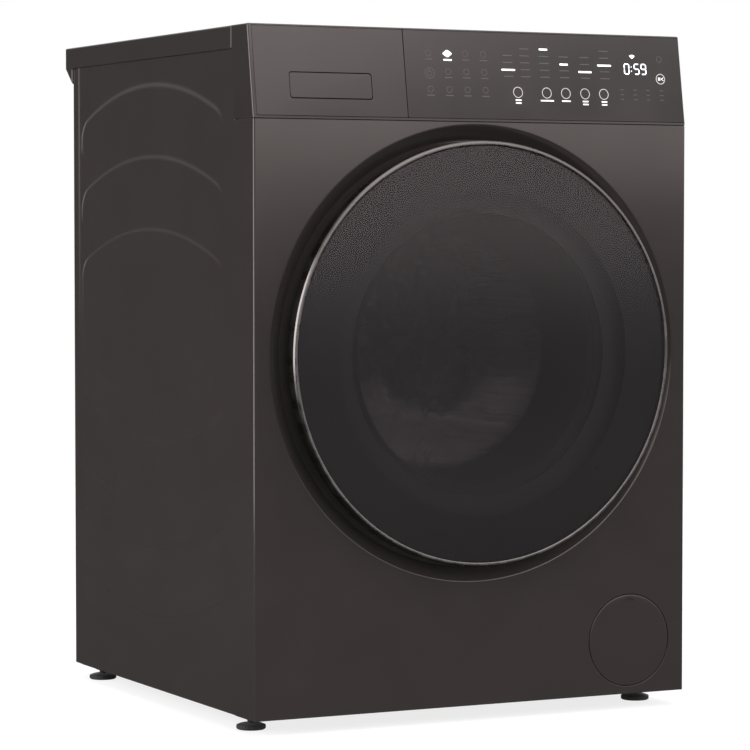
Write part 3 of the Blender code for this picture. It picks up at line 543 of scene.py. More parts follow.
def build_front():
    sheet = trace("front_skin", [(x, at(d), PANEL_LOW) for x, d in corner_line()])
    bpy.ops.mesh.select_all(action="SELECT")
    bpy.ops.mesh.extrude_region_move(TRANSFORM_OT_translate={"value": (0, 0, PANEL_TOP - PANEL_LOW)})
    mend(sheet)
    middle = min(sheet.data.polygons, key=lambda face: face.center.y)
    if middle.normal.y > 0:
        edit(sheet)
        bpy.ops.mesh.select_all(action="SELECT")
        bpy.ops.mesh.flip_normals()
    apply(sheet, "SOLIDIFY", thickness=SHEET, offset=-1)
    cut_rim(sheet, RIM_R, (0, DOOR_Z), RIM_STEPS)
    cut_rim(sheet, HATCH_RIM_R, (HATCH_X, HATCH_Z), 96)
    foot = DISH_DEPTH + SHEET
    dish = [(RIM_R, 0), (DISH_RIM_R + 0.0005, 0, 0.0030), (DISH_FOOT_R, DISH_DEPTH, 0.0040)]
    dish += [(MOUTH_R, DISH_DEPTH, 0.0030), (MOUTH_R, MOUTH_LIP), (MOUTH_R + SHEET, MOUTH_LIP)]
    dish += [(MOUTH_R + SHEET, foot, 0.002), (DISH_FOOT_R + 0.0005, foot, 0.003)]
    dish += [(DISH_RIM_R + 0.0007, SHEET, 0.001), (RIM_R, SHEET)]
    well = [(HATCH_RIM_R, 0), (HATCH_R + 0.0009, 0, 0.0012), (HATCH_R + 0.0009, SHEET), (HATCH_RIM_R, SHEET)]
    rims = [turn("dish", dish, (0, DOOR_Z), RIM_STEPS), turn("hatch_rim", well, (HATCH_X, HATCH_Z), 96)]
    skin = join("front_skin", [sheet] + rims)
    mend(skin, 0.00002)
    slot = block("slot", (0.2135, 0.2305), (0.008, 0.020), (DOOR_Z - 0.014, DOOR_Z + 0.014))
    carve(skin, slot)
    flatten(skin, 35)
    return place(skin, ENAMEL, "cabinet", "body_enamel", "front_panel")


FRONT_SKIN = build_front()
print("front skin", len(FRONT_SKIN.data.polygons), "faces")

# %% [markdown]
# ## The sides
# Each side is stiffened by pressed ribs: three that arch up, four that arch down, and a closed
# loop in the middle, made where two of them are joined by upright bars. The skin starts as a
# grid whose rows bend along the arches, so that the edge of every rib runs along a row, and each
# point is then pushed out by a height read from its distance to the nearest rib.

# %% Side panels
RIB_HIGH = 0.0011
RIB_RAMP = 0.0085
RIB_WIDE = 0.046
RIB_CORNER = 0.019
STEP_AT, STEP_WIDE, STEP_DEEP = 0.563, 0.009, 0.0011
RIB_FRONT, RIB_REAR, RIB_CREST = 0.091, 0.554, 0.320
RIB_TOPS = (0.789, 0.698, 0.606, 0.385, 0.293, 0.203, 0.113)
ARCH_R = 0.613
FOLD_R = 0.0020


def sag(depth):
    reach = min(max(depth, RIB_FRONT - 0.03), RIB_REAR + 0.034) - RIB_CREST
    return ARCH_R - sqrt(ARCH_R**2 - reach**2)


def bend(z):
    """How much a row follows the arch: -1 in the upper half, 1 in the lower, 0 at both edges."""
    knots = [(PANEL_LOW, 0), (0.060, 1), (0.392, 1), (0.552, -1), (0.796, -1), (LID_LOW, 0)]
    for (low, a), (high, b) in zip(knots, knots[1:]):
        if z <= high:
            return a + (b - a) * (z - low) / (high - low)
    return 0


def rounded_box(point, low, high, radius):
    """Distance from a point to a rectangle with round corners, negative inside."""
    away = []
    for value, a, b in zip(point, low, high):
        away.append(abs(value - (a + b) / 2) - (b - a) / 2 + radius)
    outside = hypot(max(away[0], 0), max(away[1], 0))
    return outside + min(max(away), 0) - radius


def rib_height(depth, z):
    near = min(rounded_box((depth, z), (RIB_FRONT, top - RIB_WIDE), (RIB_REAR, top), RIB_CORNER)
               for top in RIB_TOPS)
    loop_low, loop_high = RIB_TOPS[3] - RIB_WIDE, RIB_TOPS[2]
    outer = rounded_box((depth, z), (RIB_FRONT, loop_low), (RIB_REAR, loop_high), 0.019)
    window = rounded_box((depth, z), (0.127, RIB_TOPS[3]), (0.528, RIB_TOPS[2] - RIB_WIDE), 0.012)
    near = min(near, max(outer, -window))
    share = min(max(0.5 - near / RIB_RAMP, 0), 1)
    return RIB_HIGH * share * share * (3 - 2 * share)


def side_depths():
    """Columns: close together round the front fold, then evenly spaced."""
    start = WRAP + 0.0003
    fold = [start + FOLD_R * (1 - cos(radians(90 * i / 6))) for i in range(6)]
    rest = [start + FOLD_R + (BACK - start - FOLD_R) * i / 118 for i in range(119)]
    return fold + rest


def side_rows():
    return [PANEL_LOW + (LID_LOW - PANEL_LOW) * i / 350 for i in range(351)]


def build_side(name, side, node):
    depths, rows = side_depths(), side_rows()
    clear_selection()
    bpy.ops.mesh.primitive_grid_add(x_subdivisions=len(depths) - 1, y_subdivisions=len(rows) - 1, size=1)
    skin = settle(bpy.context.object)
    skin.name = skin.data.name = name
    plane = HALF - 0.0012
    for index, corner in enumerate(skin.data.vertices):
        row, column = divmod(index, len(depths))
        depth, z = depths[column], rows[row]
        out = rib_height(depth, z)
        into_fold = min(max((depth - depths[0]) / FOLD_R, 0), 1)
        out -= FOLD_R * (1 - sqrt(1 - (1 - into_fold) ** 2))
        into_step = min(max((depth - STEP_AT) / STEP_WIDE, 0), 1)
        out -= STEP_DEEP * into_step * into_step * (3 - 2 * into_step)
        corner.co = (side * (plane + out), at(depth), z + bend(z) * sag(depth))
    edit(skin)
    bpy.ops.mesh.select_all(action="SELECT")
    bpy.ops.mesh.region_to_loop()
    bpy.ops.mesh.extrude_edges_move(TRANSFORM_OT_translate={"value": (-side * 0.004, 0, 0)})
    bpy.ops.transform.resize(value=(0, 1, 1))
    bpy.ops.mesh.edge_face_add()
    mend(skin)
    smooth(skin, 40)
    return place(skin, ENAMEL, "cabinet", "body_enamel", node)


LEFT_SKIN = build_side("left_skin", -1, "left_side_panel")
build_side("right_skin", 1, "right_side_panel")
print("side skins", len(LEFT_SKIN.data.polygons), "faces each")

# %% [markdown]
# ## The lid
# The lid is a shallow tray, upside down. At the back it hangs over the cabinet and its lip tapers
# in under itself, which leaves room for the water hoses when the machine is pushed to the wall.

# %% Lid
def build_lid():
    front = CONSOLE_BACK + 0.0005
    outline = [(front, LID_LOW + 0.0003), (front, HEIGHT), (OVERHANG, HEIGHT), (OVERHANG, LID_LOW + 0.0003)]
    outline += [(BACK + 0.0003, 0.8005), (BACK + 0.0003, LID_LOW + 0.0003)]
    lid = press("lid", [(-HALF, at(d), z) for d, z in outline], (2 * HALF, 0, 0))
    bevel(lid, 0.0022, 4, 30)
    hollow = block("hollow", (-0.2965, 0.2965), (0.0680, BACK - 0.0040), (0.80, HEIGHT - 0.0025))
    carve(lid, hollow)
    flatten(lid, 50)
    return place(lid, ENAMEL, "cabinet", "body_enamel", "top_panel")


LID = build_lid()
print("lid", len(LID.data.polygons), "faces")

# %% [markdown]
# ## The console
# The console leans back by nine degrees. A carrier with two end cheeks holds a sheet of printed
# glass on the right and the drawer's fascia on the left, both let into a shallow bay so that they
# end flush with its rim. Each is an outline in side view, pulled across the machine.

# %% The lean, and edges rounded by choice
LEAN = 0.0177 / 0.1115
BAY_LOW, BAY_HIGH, BAY_DEPTH = CONSOLE_LOW + 0.0030, HEIGHT - 0.0020, 0.0045
FACE_LOW, FACE_HIGH = BAY_LOW + 0.0004, BAY_HIGH - 0.0004
GLASS_LEFT, GLASS_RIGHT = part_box("control_glass")[0][0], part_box("control_glass")[1][0]
FASCIA_LEFT, FASCIA_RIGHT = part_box("drawer_front")[0][0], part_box("drawer_front")[1][0]


def lean(z):
    return LEAN * (z - CONSOLE_LOW)


def leaning(name, x, low, high, front, back):
    """A slab parallel to the console's face, between two distances behind it."""
    outline = [(lean(low) + front, low), (lean(high) + front, high)]
    outline += [(lean(high) + back, high), (lean(low) + back, low)]
    return press(name, [(x[0], at(d), z) for d, z in outline], (x[1] - x[0], 0, 0))


def round_edges(piece, chosen, width, segments=4):
    """Bevels the edges for which chosen(middle, direction) is true."""
    edit(piece, "EDGE")
    bpy.ops.mesh.select_all(action="DESELECT")
    clear_selection()
    corners = piece.data.vertices
    for edge in piece.data.edges:
        a, b = (corners[i].co for i in edge.vertices)
        edge.select = bool(chosen((a + b) / 2, (b - a).normalized()))
    edit(piece, "EDGE")
    bpy.ops.mesh.bevel(offset=width, segments=segments, affect="EDGES")
    clear_selection()
    return piece


def build_console():
    outline = [(0, CONSOLE_LOW), (lean(HEIGHT), HEIGHT), (CONSOLE_BACK, HEIGHT)]
    outline += [(CONSOLE_BACK, LID_LOW + 0.0003), (WRAP, LID_LOW + 0.0003), (WRAP, CONSOLE_LOW)]
    shell = press("console_shell", [(-HALF, at(d), z) for d, z in outline], (2 * HALF, 0, 0))
    near = at(0.02)
    round_edges(shell, lambda m, w: abs(m.x) > HALF - 1e-4 and m.y < near and abs(w.z) > 0.9, 0.0030, 5)
    round_edges(shell, lambda m, w: m.z > HEIGHT - 1e-4 and abs(w.z) < 0.5 and m.y < at(0.06), 0.0016, 4)
    round_edges(shell, lambda m, w: m.z < CONSOLE_LOW + 1e-4 and m.y < at(0.004), 0.0006, 2)
    bay = leaning("bay", (-HALF + 0.0045, HALF - 0.0010), BAY_LOW, BAY_HIGH, -0.02, BAY_DEPTH)
    drawer_way = block("drawer_way", (-0.2875, -0.1025), (-0.01, 0.1), (0.7455, 0.8310))
    board_way = block("board_way", (-0.085, 0.285), (0.030, 0.1), (0.750, 0.842))
    carve(shell, bay, drawer_way, board_way)
    return place(flatten(shell), FASCIA, "cabinet", "console_plastic", "console_housing")


def build_gap_seal():
    """A black strip in the joint under the console, set back from the surface."""
    seal = block("console_joint", (-HALF + 0.0012, HALF - 0.0012), (0.0012, 0.050),
                 (PANEL_TOP + 0.00005, CONSOLE_LOW - 0.00005), 0.0003, 1)
    return place(seal, BLACK_RUBBER, "cabinet", "black_rubber")


CONSOLE = build_console()
build_gap_seal()
print("console shell", len(CONSOLE.data.polygons), "faces")

# %% [markdown]
# The glass has ground edges. The fascia has a pocket for the fingers, closed by a flap that gives
# way when it is pushed. Both openings have round corners, which are made by bevelling the four
# short edges of a block before it is used as a cutter.

# %% Glass, fascia and flap
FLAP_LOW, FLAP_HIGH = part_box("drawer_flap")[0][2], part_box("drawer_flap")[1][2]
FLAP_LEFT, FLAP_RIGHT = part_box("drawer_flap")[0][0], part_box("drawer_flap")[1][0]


def round_corners(piece, width, segments=6):
    """Rounds the edges that run from the front of a slab to its back."""
    return round_edges(piece, lambda m, w: abs(w.y) > 0.9 and abs(w.x) < 0.2, width, segments)


def round_rim(piece, width, front, segments=3):
    """Rounds every edge that lies in the console's leaning plane."""
    def on_face(m, w):
        return abs(m.y - at(lean(m.z)) - front) < 0.0003 and abs(w.y) < 0.6
    return round_edges(piece, on_face, width, segments)


def build_touch_glass():
    pane = leaning("touch_glass", (GLASS_LEFT, GLASS_RIGHT), FACE_LOW, FACE_HIGH, 0, 0.0042)
    round_corners(pane, 0.0012, 3)
    round_rim(pane, 0.0005, 0)
    return place(flatten(pane), TOUCH_GLASS, "cabinet", "smoked_glass", "control_glass")


def build_fascia():
    wall = 0.0025
    fascia = leaning("drawer_fascia", (FASCIA_LEFT, FASCIA_RIGHT), FACE_LOW, FACE_HIGH, 0, 0.0042)
    round_corners(fascia, 0.0012, 3)
    round_rim(fascia, 0.0005, 0)
    box_x = (FLAP_LEFT - wall, FLAP_RIGHT + wall)
    box_z = (FLAP_LOW - wall - 0.0015, FLAP_HIGH + wall + 0.0015)
    carve(fascia, block("pocket_box", box_x, (lean(FLAP_HIGH) + 0.002, 0.0425), box_z), how="UNION")
    beside, swing = 0.0006, 0.0011
    way = block("pocket", (FLAP_LEFT - beside, FLAP_RIGHT + beside), (-0.01, 0.040),
                (FLAP_LOW - swing, FLAP_HIGH + swing))
    carve(fascia, round_corners(way, 0.0038))
    return place(flatten(fascia), FASCIA, "drawer", "console_plastic", "drawer_front")


def build_flap():
    flap = leaning("grip_flap", (FLAP_LEFT, FLAP_RIGHT), FLAP_LOW, FLAP_HIGH, 0.0001, 0.0030)
    round_corners(flap, 0.0034)
    round_rim(flap, 0.0005, 0.0001)
    return place(flatten(flap), FASCIA, "drawer_grip", "console_plastic", "drawer_flap")


build_touch_glass()
DRAWER_FASCIA = build_fascia()
GRIP_FLAP = build_flap()
print("drawer fascia", len(DRAWER_FASCIA.data.polygons), "faces, flap", len(GRIP_FLAP.data.polygons))

# %% [markdown]
# The marks on the glass are lamps behind a stencil. Each is a thin inlay: a bar, a ring or an arc is
# drawn flat in the X-Z plane, given a tenth of a millimetre of thickness, and slid onto the face by
# the lean. Names and wording are left as plain bars. Only digits and common symbols are drawn.

# %% Inlay helpers
INLAY = 0.00012


def bar(x, z, wide, high, tilt=0.0):
    clear_selection()
    bpy.ops.mesh.primitive_plane_add(size=1, rotation=(radians(90), 0, 0))
    piece = bpy.context.object
    piece.scale = (wide, high, 1)
    settle(piece)
    edit(piece)
    bpy.ops.mesh.select_all(action="SELECT")
    bpy.ops.mesh.bevel(offset=0.35 * min(wide, high), segments=2, affect="VERTICES")
    clear_selection()
    piece.rotation_euler = (0, radians(tilt), 0)
    piece.location = (x, 0, z)
    return settle(piece)


def ring(x, z, radius, width, start=0, stop=360, steps=40):
    """A flat ring, or the part of one between two angles."""
    clear_selection()
    bpy.ops.mesh.primitive_circle_add(vertices=steps, radius=radius, rotation=(radians(90), 0, 0))
    piece = settle(bpy.context.object)
    edit(piece, "EDGE")
    bpy.ops.mesh.select_all(action="SELECT")
    bpy.ops.mesh.extrude_edges_move(TRANSFORM_OT_translate={"value": (0, 0, 0)})
    share = 1 - width / radius
    bpy.ops.transform.resize(value=(share, 1, share), center_override=(0, 0, 0))
    clear_selection()
    for face in piece.data.polygons:
        turned = (180 / pi * atan2(face.center.z, face.center.x)) % 360
        face.select = not start <= turned <= stop
    edit(piece, "FACE")
    if stop - start < 360:
        bpy.ops.mesh.delete(type="FACE")
    clear_selection()
    piece.location = (x, 0, z)
    return settle(piece)


SEGMENTS = {"0": "abcdef", "5": "acdfg", "9": "abcdfg"}


def digit(x, z, value, high=0.0125):
    """A seven-segment digit, lettered a to f clockwise from the top, with g across the middle."""
    half, wide, stroke = high / 2, high * 0.27, high * 0.115
    spots = {"a": (0, half, 0), "b": (wide, half / 2, 1), "c": (wide, -half / 2, 1), "d": (0, -half, 0)}
    spots.update({"e": (-wide, -half / 2, 1), "f": (-wide, half / 2, 1), "g": (0, 0, 0)})
    pieces = []
    for name in SEGMENTS[value]:
        dx, dz, upright = spots[name]
        size = (stroke, half * 0.84) if upright else (wide * 1.6, stroke)
        pieces.append(bar(x + dx, z + dz, *size))
    return pieces


def inlay(name, pieces, finish, node_slot="smoked_glass", proud=INLAY, body="cabinet"):
    """Joins flat marks, thickens them and slides them onto the leaning face."""
    marks = join(name, pieces)
    edit(marks)
    bpy.ops.mesh.select_all(action="SELECT")
    bpy.ops.mesh.extrude_region_move(TRANSFORM_OT_translate={"value": (0, proud, 0)})
    mend(marks)
    for corner in marks.data.vertices:
        corner.co.y += at(lean(corner.co.z)) - proud
    return place(marks, finish, body, node_slot)


# %% [markdown]
# The panel reads from left to right: the power key, a grid of programmes with one of them lit, the
# columns of options with one word lit in each, five round keys under them, and the time left with
# the start key beside it. What isn't lit can still be made out as faint grey print.

# %% The lit marks
KEYS_X = (0.0604, 0.1012, 0.1284, 0.1560, 0.1832)
KEY_Z = 0.7744
LIT_WORDS = ((0.0490, 0.8020, 0.0190), (0.1004, 0.8284, 0.0120), (0.1284, 0.8104, 0.0120))
LIT_WORDS += ((0.1584, 0.8016, 0.0190), (0.1868, 0.8104, 0.0200))
TIME_X, TIME_Z = 0.2312, 0.8070

lit = [bar(x, z, wide, 0.0021) for x, z, wide in LIT_WORDS]
for x, value in zip((TIME_X - 0.0118, TIME_X + 0.0028, TIME_X + 0.0128), "059"):
    lit += digit(x, TIME_Z, value)
lit += [bar(TIME_X - 0.0050, TIME_Z + dz, 0.0013, 0.0013) for dz in (-0.0026, 0.0026)]
lit += [ring(0.2284, 0.8192, r, 0.0009, 45, 135, 48) for r in (0.0022, 0.0040, 0.0058)]
lit += [bar(-0.0348, 0.8122, 0.0115, 0.0019)]
lit += [bar(-0.0348, 0.8200 + dz, wide, 0.0010) for dz, wide in
        ((-0.0036, 0.0040), (-0.0024, 0.0076), (-0.0012, 0.0110), (0, 0.0124), (0.0012, 0.0110),
         (0.0024, 0.0076), (0.0036, 0.0040))]
inlay("lit_marks", lit, LIT)

soft = []
for x, wide in zip(KEYS_X, (0.0085, 0.0190, 0.0125, 0.0085, 0.0085)):
    soft += [bar(x, KEY_Z - 0.0096, wide, 0.0018)]
    if wide < 0.009:
        soft += [bar(x, KEY_Z - 0.0132, wide * 0.95, 0.0018)]
soft += [bar(0.2652, 0.7952, 0.0012, 0.0042), bar(0.2671, 0.7952, 0.0012, 0.0042)]
soft += [bar(0.2706, 0.7952 + dz, 0.0009, 0.0044, tilt) for dz, tilt in ((0.0009, 55), (-0.0009, -55))]
inlay("soft_marks", soft, SOFT_LIT)

dim = [ring(x, KEY_Z, 0.0067, 0.0007, steps=64) for x in KEYS_X]
dim += [ring(0.2680, 0.7952, 0.0066, 0.0008, steps=64)]
inlay("key_rings", dim, DIM_LIT)
print("lit marks", len(lit), "soft marks", len(soft))

# %% The faint marks
faint = [ring(-0.0608, 0.7956, 0.0068, 0.0007), ring(-0.0608, 0.7956, 0.0036, 0.0006, 0, 70)]
faint += [ring(-0.0608, 0.7956, 0.0036, 0.0006, 110, 360), bar(-0.0608, 0.7984, 0.0007, 0.0040)]
for x in (-0.061, -0.035, -0.010, 0.015):
    for z in (0.820, 0.798, 0.776):
        if (x, z) in ((-0.035, 0.820), (-0.061, 0.798)):
            continue
        faint += [ring(x, z, 0.0040, 0.0006, steps=24), bar(x, z - 0.0074, 0.0105, 0.0011)]
COLUMNS = ((0.049, 4), (0.073, 5), (0.1004, 5), (0.1284, 4), (0.1584, 4), (0.1868, 5))
lit_places = [(x, z) for x, z, _ in LIT_WORDS]
for x, count in COLUMNS:
    for row in range(count):
        z = 0.8284 - 0.0086 * row - (0.0086 if count == 4 else 0)
        if all(hypot(x - a, z - b) > 0.006 for a, b in lit_places):
            faint += [bar(x, z, 0.0135, 0.0011)]
for x in (0.2100, 0.2290, 0.2480, 0.2680):
    faint += [bar(x, 0.7745 + dz, 0.0050, 0.0009) for dz in (-0.006, 0.0, 0.006)]
faint += [ring(0.2680, 0.8200, 0.0040, 0.0006, steps=24)]
inlay("faint_marks", faint, FAINT)
print("faint marks", len(faint))

# %% [markdown]
# ## The door
# The door is a stack: a thin satin trim ring round a domed smoked pane, a moulded ring behind it,
# and a clear bowl that reaches into the drum to keep the laundry off the seal. All of them are
# turned from a profile. A wide band on the back of the pane is printed black, which hides the ring
# and leaves a round window in the middle.

# %% Trim ring, pane and printed band
TURNS = 256
PANE_EDGE = RING_FRONT + 0.0004
WINDOW_R = 0.198


def dome(radius, behind=0.0):
    """Depth of the pane's front at a radius from its centre."""
    return CROWN + (PANE_EDGE - CROWN) * (radius / GLASS_R) ** 2 + behind


def build_trim():
    inner, soft_edge = GLASS_R + 0.0003, 0.0012
    profile = [(inner, RING_BACK), (inner, RING_FRONT, soft_edge), (RING_R - 0.0016, RING_FRONT, 0.0010)]
    profile += [(RING_R, RING_FRONT + 0.0024, 0.0012), (RING_R, RING_BACK, 0.0005)]
    trim = turn("door_trim", profile, (0, DOOR_Z), TURNS, shut=True)
    return place(trim, TRIM, "door", "satin_metal", "door_ring")


def build_pane():
    front = [(GLASS_R * i / 14, dome(GLASS_R * i / 14)) for i in range(14)]
    edge = [(GLASS_R - 0.0004, PANE_EDGE), (GLASS_R, PANE_EDGE + 0.0006), (GLASS_R, PANE_EDGE + 0.0036)]
    back = [(GLASS_R * i / 14, dome(GLASS_R * i / 14, 0.0036)) for i in range(13, -1, -1)]
    pane = turn("door_pane", front + edge + back, (0, DOOR_Z), TURNS)
    return place(pane, SMOKED, "door", "smoked_glass", "door_glass")


def build_print():
    reach = GLASS_R - 0.0012
    radii = [WINDOW_R + (reach - WINDOW_R) * i / 6 for i in range(7)]
    near = [(r, dome(r, 0.0039)) for r in radii]
    far = [(r, dome(r, 0.0043)) for r in reversed(radii)]
    band = turn("pane_print", near + far, (0, DOOR_Z), 160, shut=True)
    return place(band, PRINT, "door", "smoked_glass")


DOOR_TRIM, DOOR_PANE = build_trim(), build_pane()
build_print()
print("door trim", len(DOOR_TRIM.data.polygons), "faces, pane", len(DOOR_PANE.data.polygons))

# %% [markdown]
# The ring behind the pane carries the hinge on one side and the hook on the other, so it has a notch
# for each. Its back is what you see when the door is open: a stepped moulding with a seat for the
# rubber and a ring of screws in round wells.

# %% Door moulding and its screws
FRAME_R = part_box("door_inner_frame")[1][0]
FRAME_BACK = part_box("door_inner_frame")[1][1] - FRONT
BOWL_SEAT_R = 0.1745
SCREWS_R = 0.236
SCREW_TURNS = (20, 60, 100, 140, 220, 260, 300, 340)


def round_place(radius, turned):
    """X and Z of a place on a circle round the door's centre."""
    return radius * cos(radians(turned)), DOOR_Z + radius * sin(radians(turned))


def screw_head(name, x, z, depth, radius=0.0036, way=-1, recess="cross"):
    """A pan head facing forwards or backwards, with a cross or a slot in it."""
    top, high = depth, radius * 0.55
    profile = [(0, top), (radius * 0.55, top + 0.02 * high), (radius, top - way * high * 0.7, 0.0003)]
    profile += [(radius, top - way * high)]
    head = turn(name, profile + [(0, top - way * high)], (x, z), 20)
    deep = sorted((depth + way * 0.001, depth - way * high * 0.6))
    wide, long = radius * 0.16, radius * 0.62
    carve(head, block("slot", (x - wide, x + wide), deep, (z - long, z + long)))
    if recess == "cross":
        carve(head, block("slot", (x - long, x + long), deep, (z - wide, z + wide)))
    return smooth(head, 30)


def copies(piece, names, moves):
    """Copies of a finished piece, each with its own mesh, moved to new places."""
    made = []
    for name, move in zip(names, moves):
        twin = piece.copy()
        twin.data = piece.data.copy()
        twin.name = twin.data.name = name
        bpy.context.collection.objects.link(twin)
        twin.data.transform(Matrix.Translation(move))
        made.append(twin)
    return made


def screw_set(name, places, depth, finish, body, slot, **kind):
    """One piece that holds a screw at each place."""
    first = screw_head("screw", *places[0], depth, **kind)
    x, z = places[0]
    rest = copies(first, ["screw"] * (len(places) - 1), [(a - x, 0, b - z) for a, b in places[1:]])
    return place(join(name, [first] + rest), finish, body, slot)


def build_moulding():
    step, lip = 0.0045, 0.0022
    profile = [(BOWL_SEAT_R, RING_BACK + 0.001), (FRAME_R, RING_BACK + 0.001, 0.0008)]
    profile += [(FRAME_R, FRAME_BACK - step, 0.0018), (FRAME_R - 0.006, FRAME_BACK - step, 0.0010)]
    profile += [(FRAME_R - 0.008, FRAME_BACK, 0.0014), (0.222, FRAME_BACK, 0.0010)]
    profile += [(0.220, FRAME_BACK - lip, 0.001)]
    profile += [(0.206, FRAME_BACK - lip, 0.0010), (0.204, FRAME_BACK, 0.0010)]
    profile += [(BOWL_SEAT_R, FRAME_BACK, 0.0012)]
    moulding = turn("door_moulding", profile, (0, DOOR_Z), 192, shut=True)
    notch = (DOOR_Z - 0.042, DOOR_Z + 0.042)
    carve(moulding, block("hinge_notch", (-0.260, -0.222), (-0.02, 0.02), notch))
    carve(moulding, block("hook_notch", (0.2140, 0.2300), (-0.02, 0.02), (DOOR_Z - 0.0105, DOOR_Z + 0.0105)))
    for turned in SCREW_TURNS:
        well = drum_of("well", round_place(SCREWS_R, turned), 0.0052, (FRAME_BACK - 0.0045, 0.03), 24)
        carve(moulding, well)
    return place(smooth(moulding, 28), DARK, "door", "dark_plastic", "door_inner_frame")


MOULDING = build_moulding()
screw_set("door_screws", [round_place(SCREWS_R, t) for t in SCREW_TURNS], FRAME_BACK - 0.0023, BRIGHT_STEEL,
          "door", "zinc_steel", way=1)
print("door moulding", len(MOULDING.data.polygons), "faces")

# %% [markdown]
# The bowl is blown glass with a rolled flange. Its wall is slightly thicker at the shoulder, and its
# end is dished outwards. The front surface of the wall is given first and the back surface after it,
# so the profile closes on itself.

# %% Bowl
def build_bowl():
    outer = [(0.174, -0.004, 0.0010), (0.174, 0.010, 0.0030), (0.1682, 0.0195, 0.0060), (0.158, 0.070, 0.060)]
    outer += [(0.1515, 0.1110, 0.0100), (0.080, 0.1168, 0.05), (0, 0.120)]
    inner = [(0, 0.115), (0.080, 0.1120, 0.05), (0.1462, 0.1060, 0.0070), (0.1530, 0.069, 0.060)]
    inner += [(0.1630, 0.018, 0.0060), (0.1650, -0.004, 0.0010), (0.174, -0.004)]
    line = soften(outer, 8) + soften(inner, 8)
    bowl = turn("door_bowl_glass", [tuple(p) for p in line], (0, DOOR_Z), 160)
    return place(bowl, CLEAR, "door", "clear_glass", "door_bowl")


BOWL = build_bowl()
print("bowl", len(BOWL.data.polygons), "faces")

# %% [markdown]
# ## The seal
# The seal is one moulding with a lip that rubs on the bowl and a deep fold that lets the tub hang
# free of the cabinet.

# %% Door seal
def build_seal():
    front = [(0.1872, 0.0242), (0.1940, 0.0242, 0.0010), (0.1955, 0.0350, 0.002), (0.1955, 0.0560, 0.004)]
    front += [(0.1865, 0.0640, 0.0030), (0.1955, 0.0715, 0.0030), (0.1955, 0.0872, 0.0008)]
    back = [(0.1770, 0.0872, 0.0008), (0.1770, 0.0838, 0.0010), (0.1912, 0.0838, 0.0030)]
    back += [(0.1912, 0.0735, 0.0030), (0.1825, 0.0650, 0.0020), (0.1912, 0.0535, 0.0040)]
    back += [(0.1905, 0.0428, 0.0030), (0.1760, 0.0408, 0.0030), (0.1722, 0.0395, 0.0012)]
    back += [(0.1718, 0.0362, 0.0010), (0.1780, 0.0352, 0.0020), (0.1872, 0.0352, 0.0010)]
    seal = turn("door_seal", front + back, (0, DOOR_Z), 180, shut=True)
    seal.data.materials.append(SEAL)
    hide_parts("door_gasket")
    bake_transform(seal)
    return seal


DOOR_SEAL = build_seal()
print("door seal", len(DOOR_SEAL.data.polygons), "faces")

# %% [markdown]
# ## The drum
# The wall of the drum is punched with thousands of small holes. One cell is modelled: a flat square
# with an eight-sided hole in it. Two arrays repeat the cell along and across, their doubles are
# merged, and the flat sheet is then rolled up by turning each point's width into an angle.

# %% Perforated drum wall
CELLS_ROUND, CELLS_DEEP = 132, 26
HOLE_R = 0.0018
WALL_R = DRUM_R - 0.0012
PITCH = 2 * pi * WALL_R / CELLS_ROUND
ROW = 0.0124
PUNCHED = (DRUM_FRONT + 0.0240, DRUM_FRONT + 0.0240 + CELLS_DEEP * ROW)


def punched_cell():
    """A flat cell round the origin: eight corners of a hole, and eight on the cell's border."""
    clear_selection()
    bpy.ops.mesh.primitive_circle_add(vertices=8, radius=HOLE_R)
    cell = settle(bpy.context.object)
    cell.name = cell.data.name = "drum_wall"
    edit(cell, "EDGE")
    bpy.ops.mesh.select_all(action="SELECT")
    bpy.ops.mesh.extrude_edges_move(TRANSFORM_OT_translate={"value": (0, 0, 0)})
    bpy.ops.transform.resize(value=(3, 3, 1), center_override=(0, 0, 0))
    clear_selection()
    for corner in cell.data.vertices:
        if corner.co.length > 2 * HOLE_R:
            corner.co.x = round(corner.co.x / (2.5 * HOLE_R)) * PITCH / 2
            corner.co.y = round(corner.co.y / (2.5 * HOLE_R)) * ROW / 2
    return cell


def build_drum_wall():
    cell = punched_cell()
    apply(cell, "ARRAY", count=CELLS_DEEP, use_relative_offset=False, use_constant_offset=True,
          constant_offset_displace=(0, ROW, 0))
    apply(cell, "ARRAY", count=CELLS_ROUND, use_relative_offset=False, use_constant_offset=True,
          constant_offset_displace=(PITCH, 0, 0))
    for corner in cell.data.vertices:
        turned, depth = corner.co.x / WALL_R, PUNCHED[0] + ROW / 2 + corner.co.y
        corner.co = (WALL_R * cos(turned), at(depth), DOOR_Z + WALL_R * sin(turned))
    front = [(WALL_R, PUNCHED[0]), (WALL_R, PUNCHED[0] - 0.005), (WALL_R - 0.0022, PUNCHED[0] - 0.008, 0.002)]
    front += [(WALL_R, PUNCHED[0] - 0.011), (WALL_R, DRUM_FRONT + 0.0007, 0.0055)]
    front += [(0.1888, DRUM_FRONT + 0.0007, 0.0030), (0.1888, DRUM_FRONT + 0.010)]
    back = [(WALL_R, PUNCHED[1]), (WALL_R, PUNCHED[1] + 0.004), (WALL_R - 0.0022, PUNCHED[1] + 0.007, 0.002)]
    back += [(WALL_R, PUNCHED[1] + 0.010), (WALL_R, DRUM_BACK - 0.0010)]
    rims = [turn("rim", line, (0, DOOR_Z), 2 * CELLS_ROUND) for line in (front, back)]
    wall = mend(join("drum_wall", [cell] + rims), 0.00002)
    apply(wall, "SOLIDIFY", thickness=0.0009, offset=0, use_even_offset=True)
    return place(smooth(wall, 30), STAINLESS, "drum", "stainless", "drum_shell")


DRUM_WALL = build_drum_wall()
print("drum wall", len(DRUM_WALL.data.polygons), "faces")

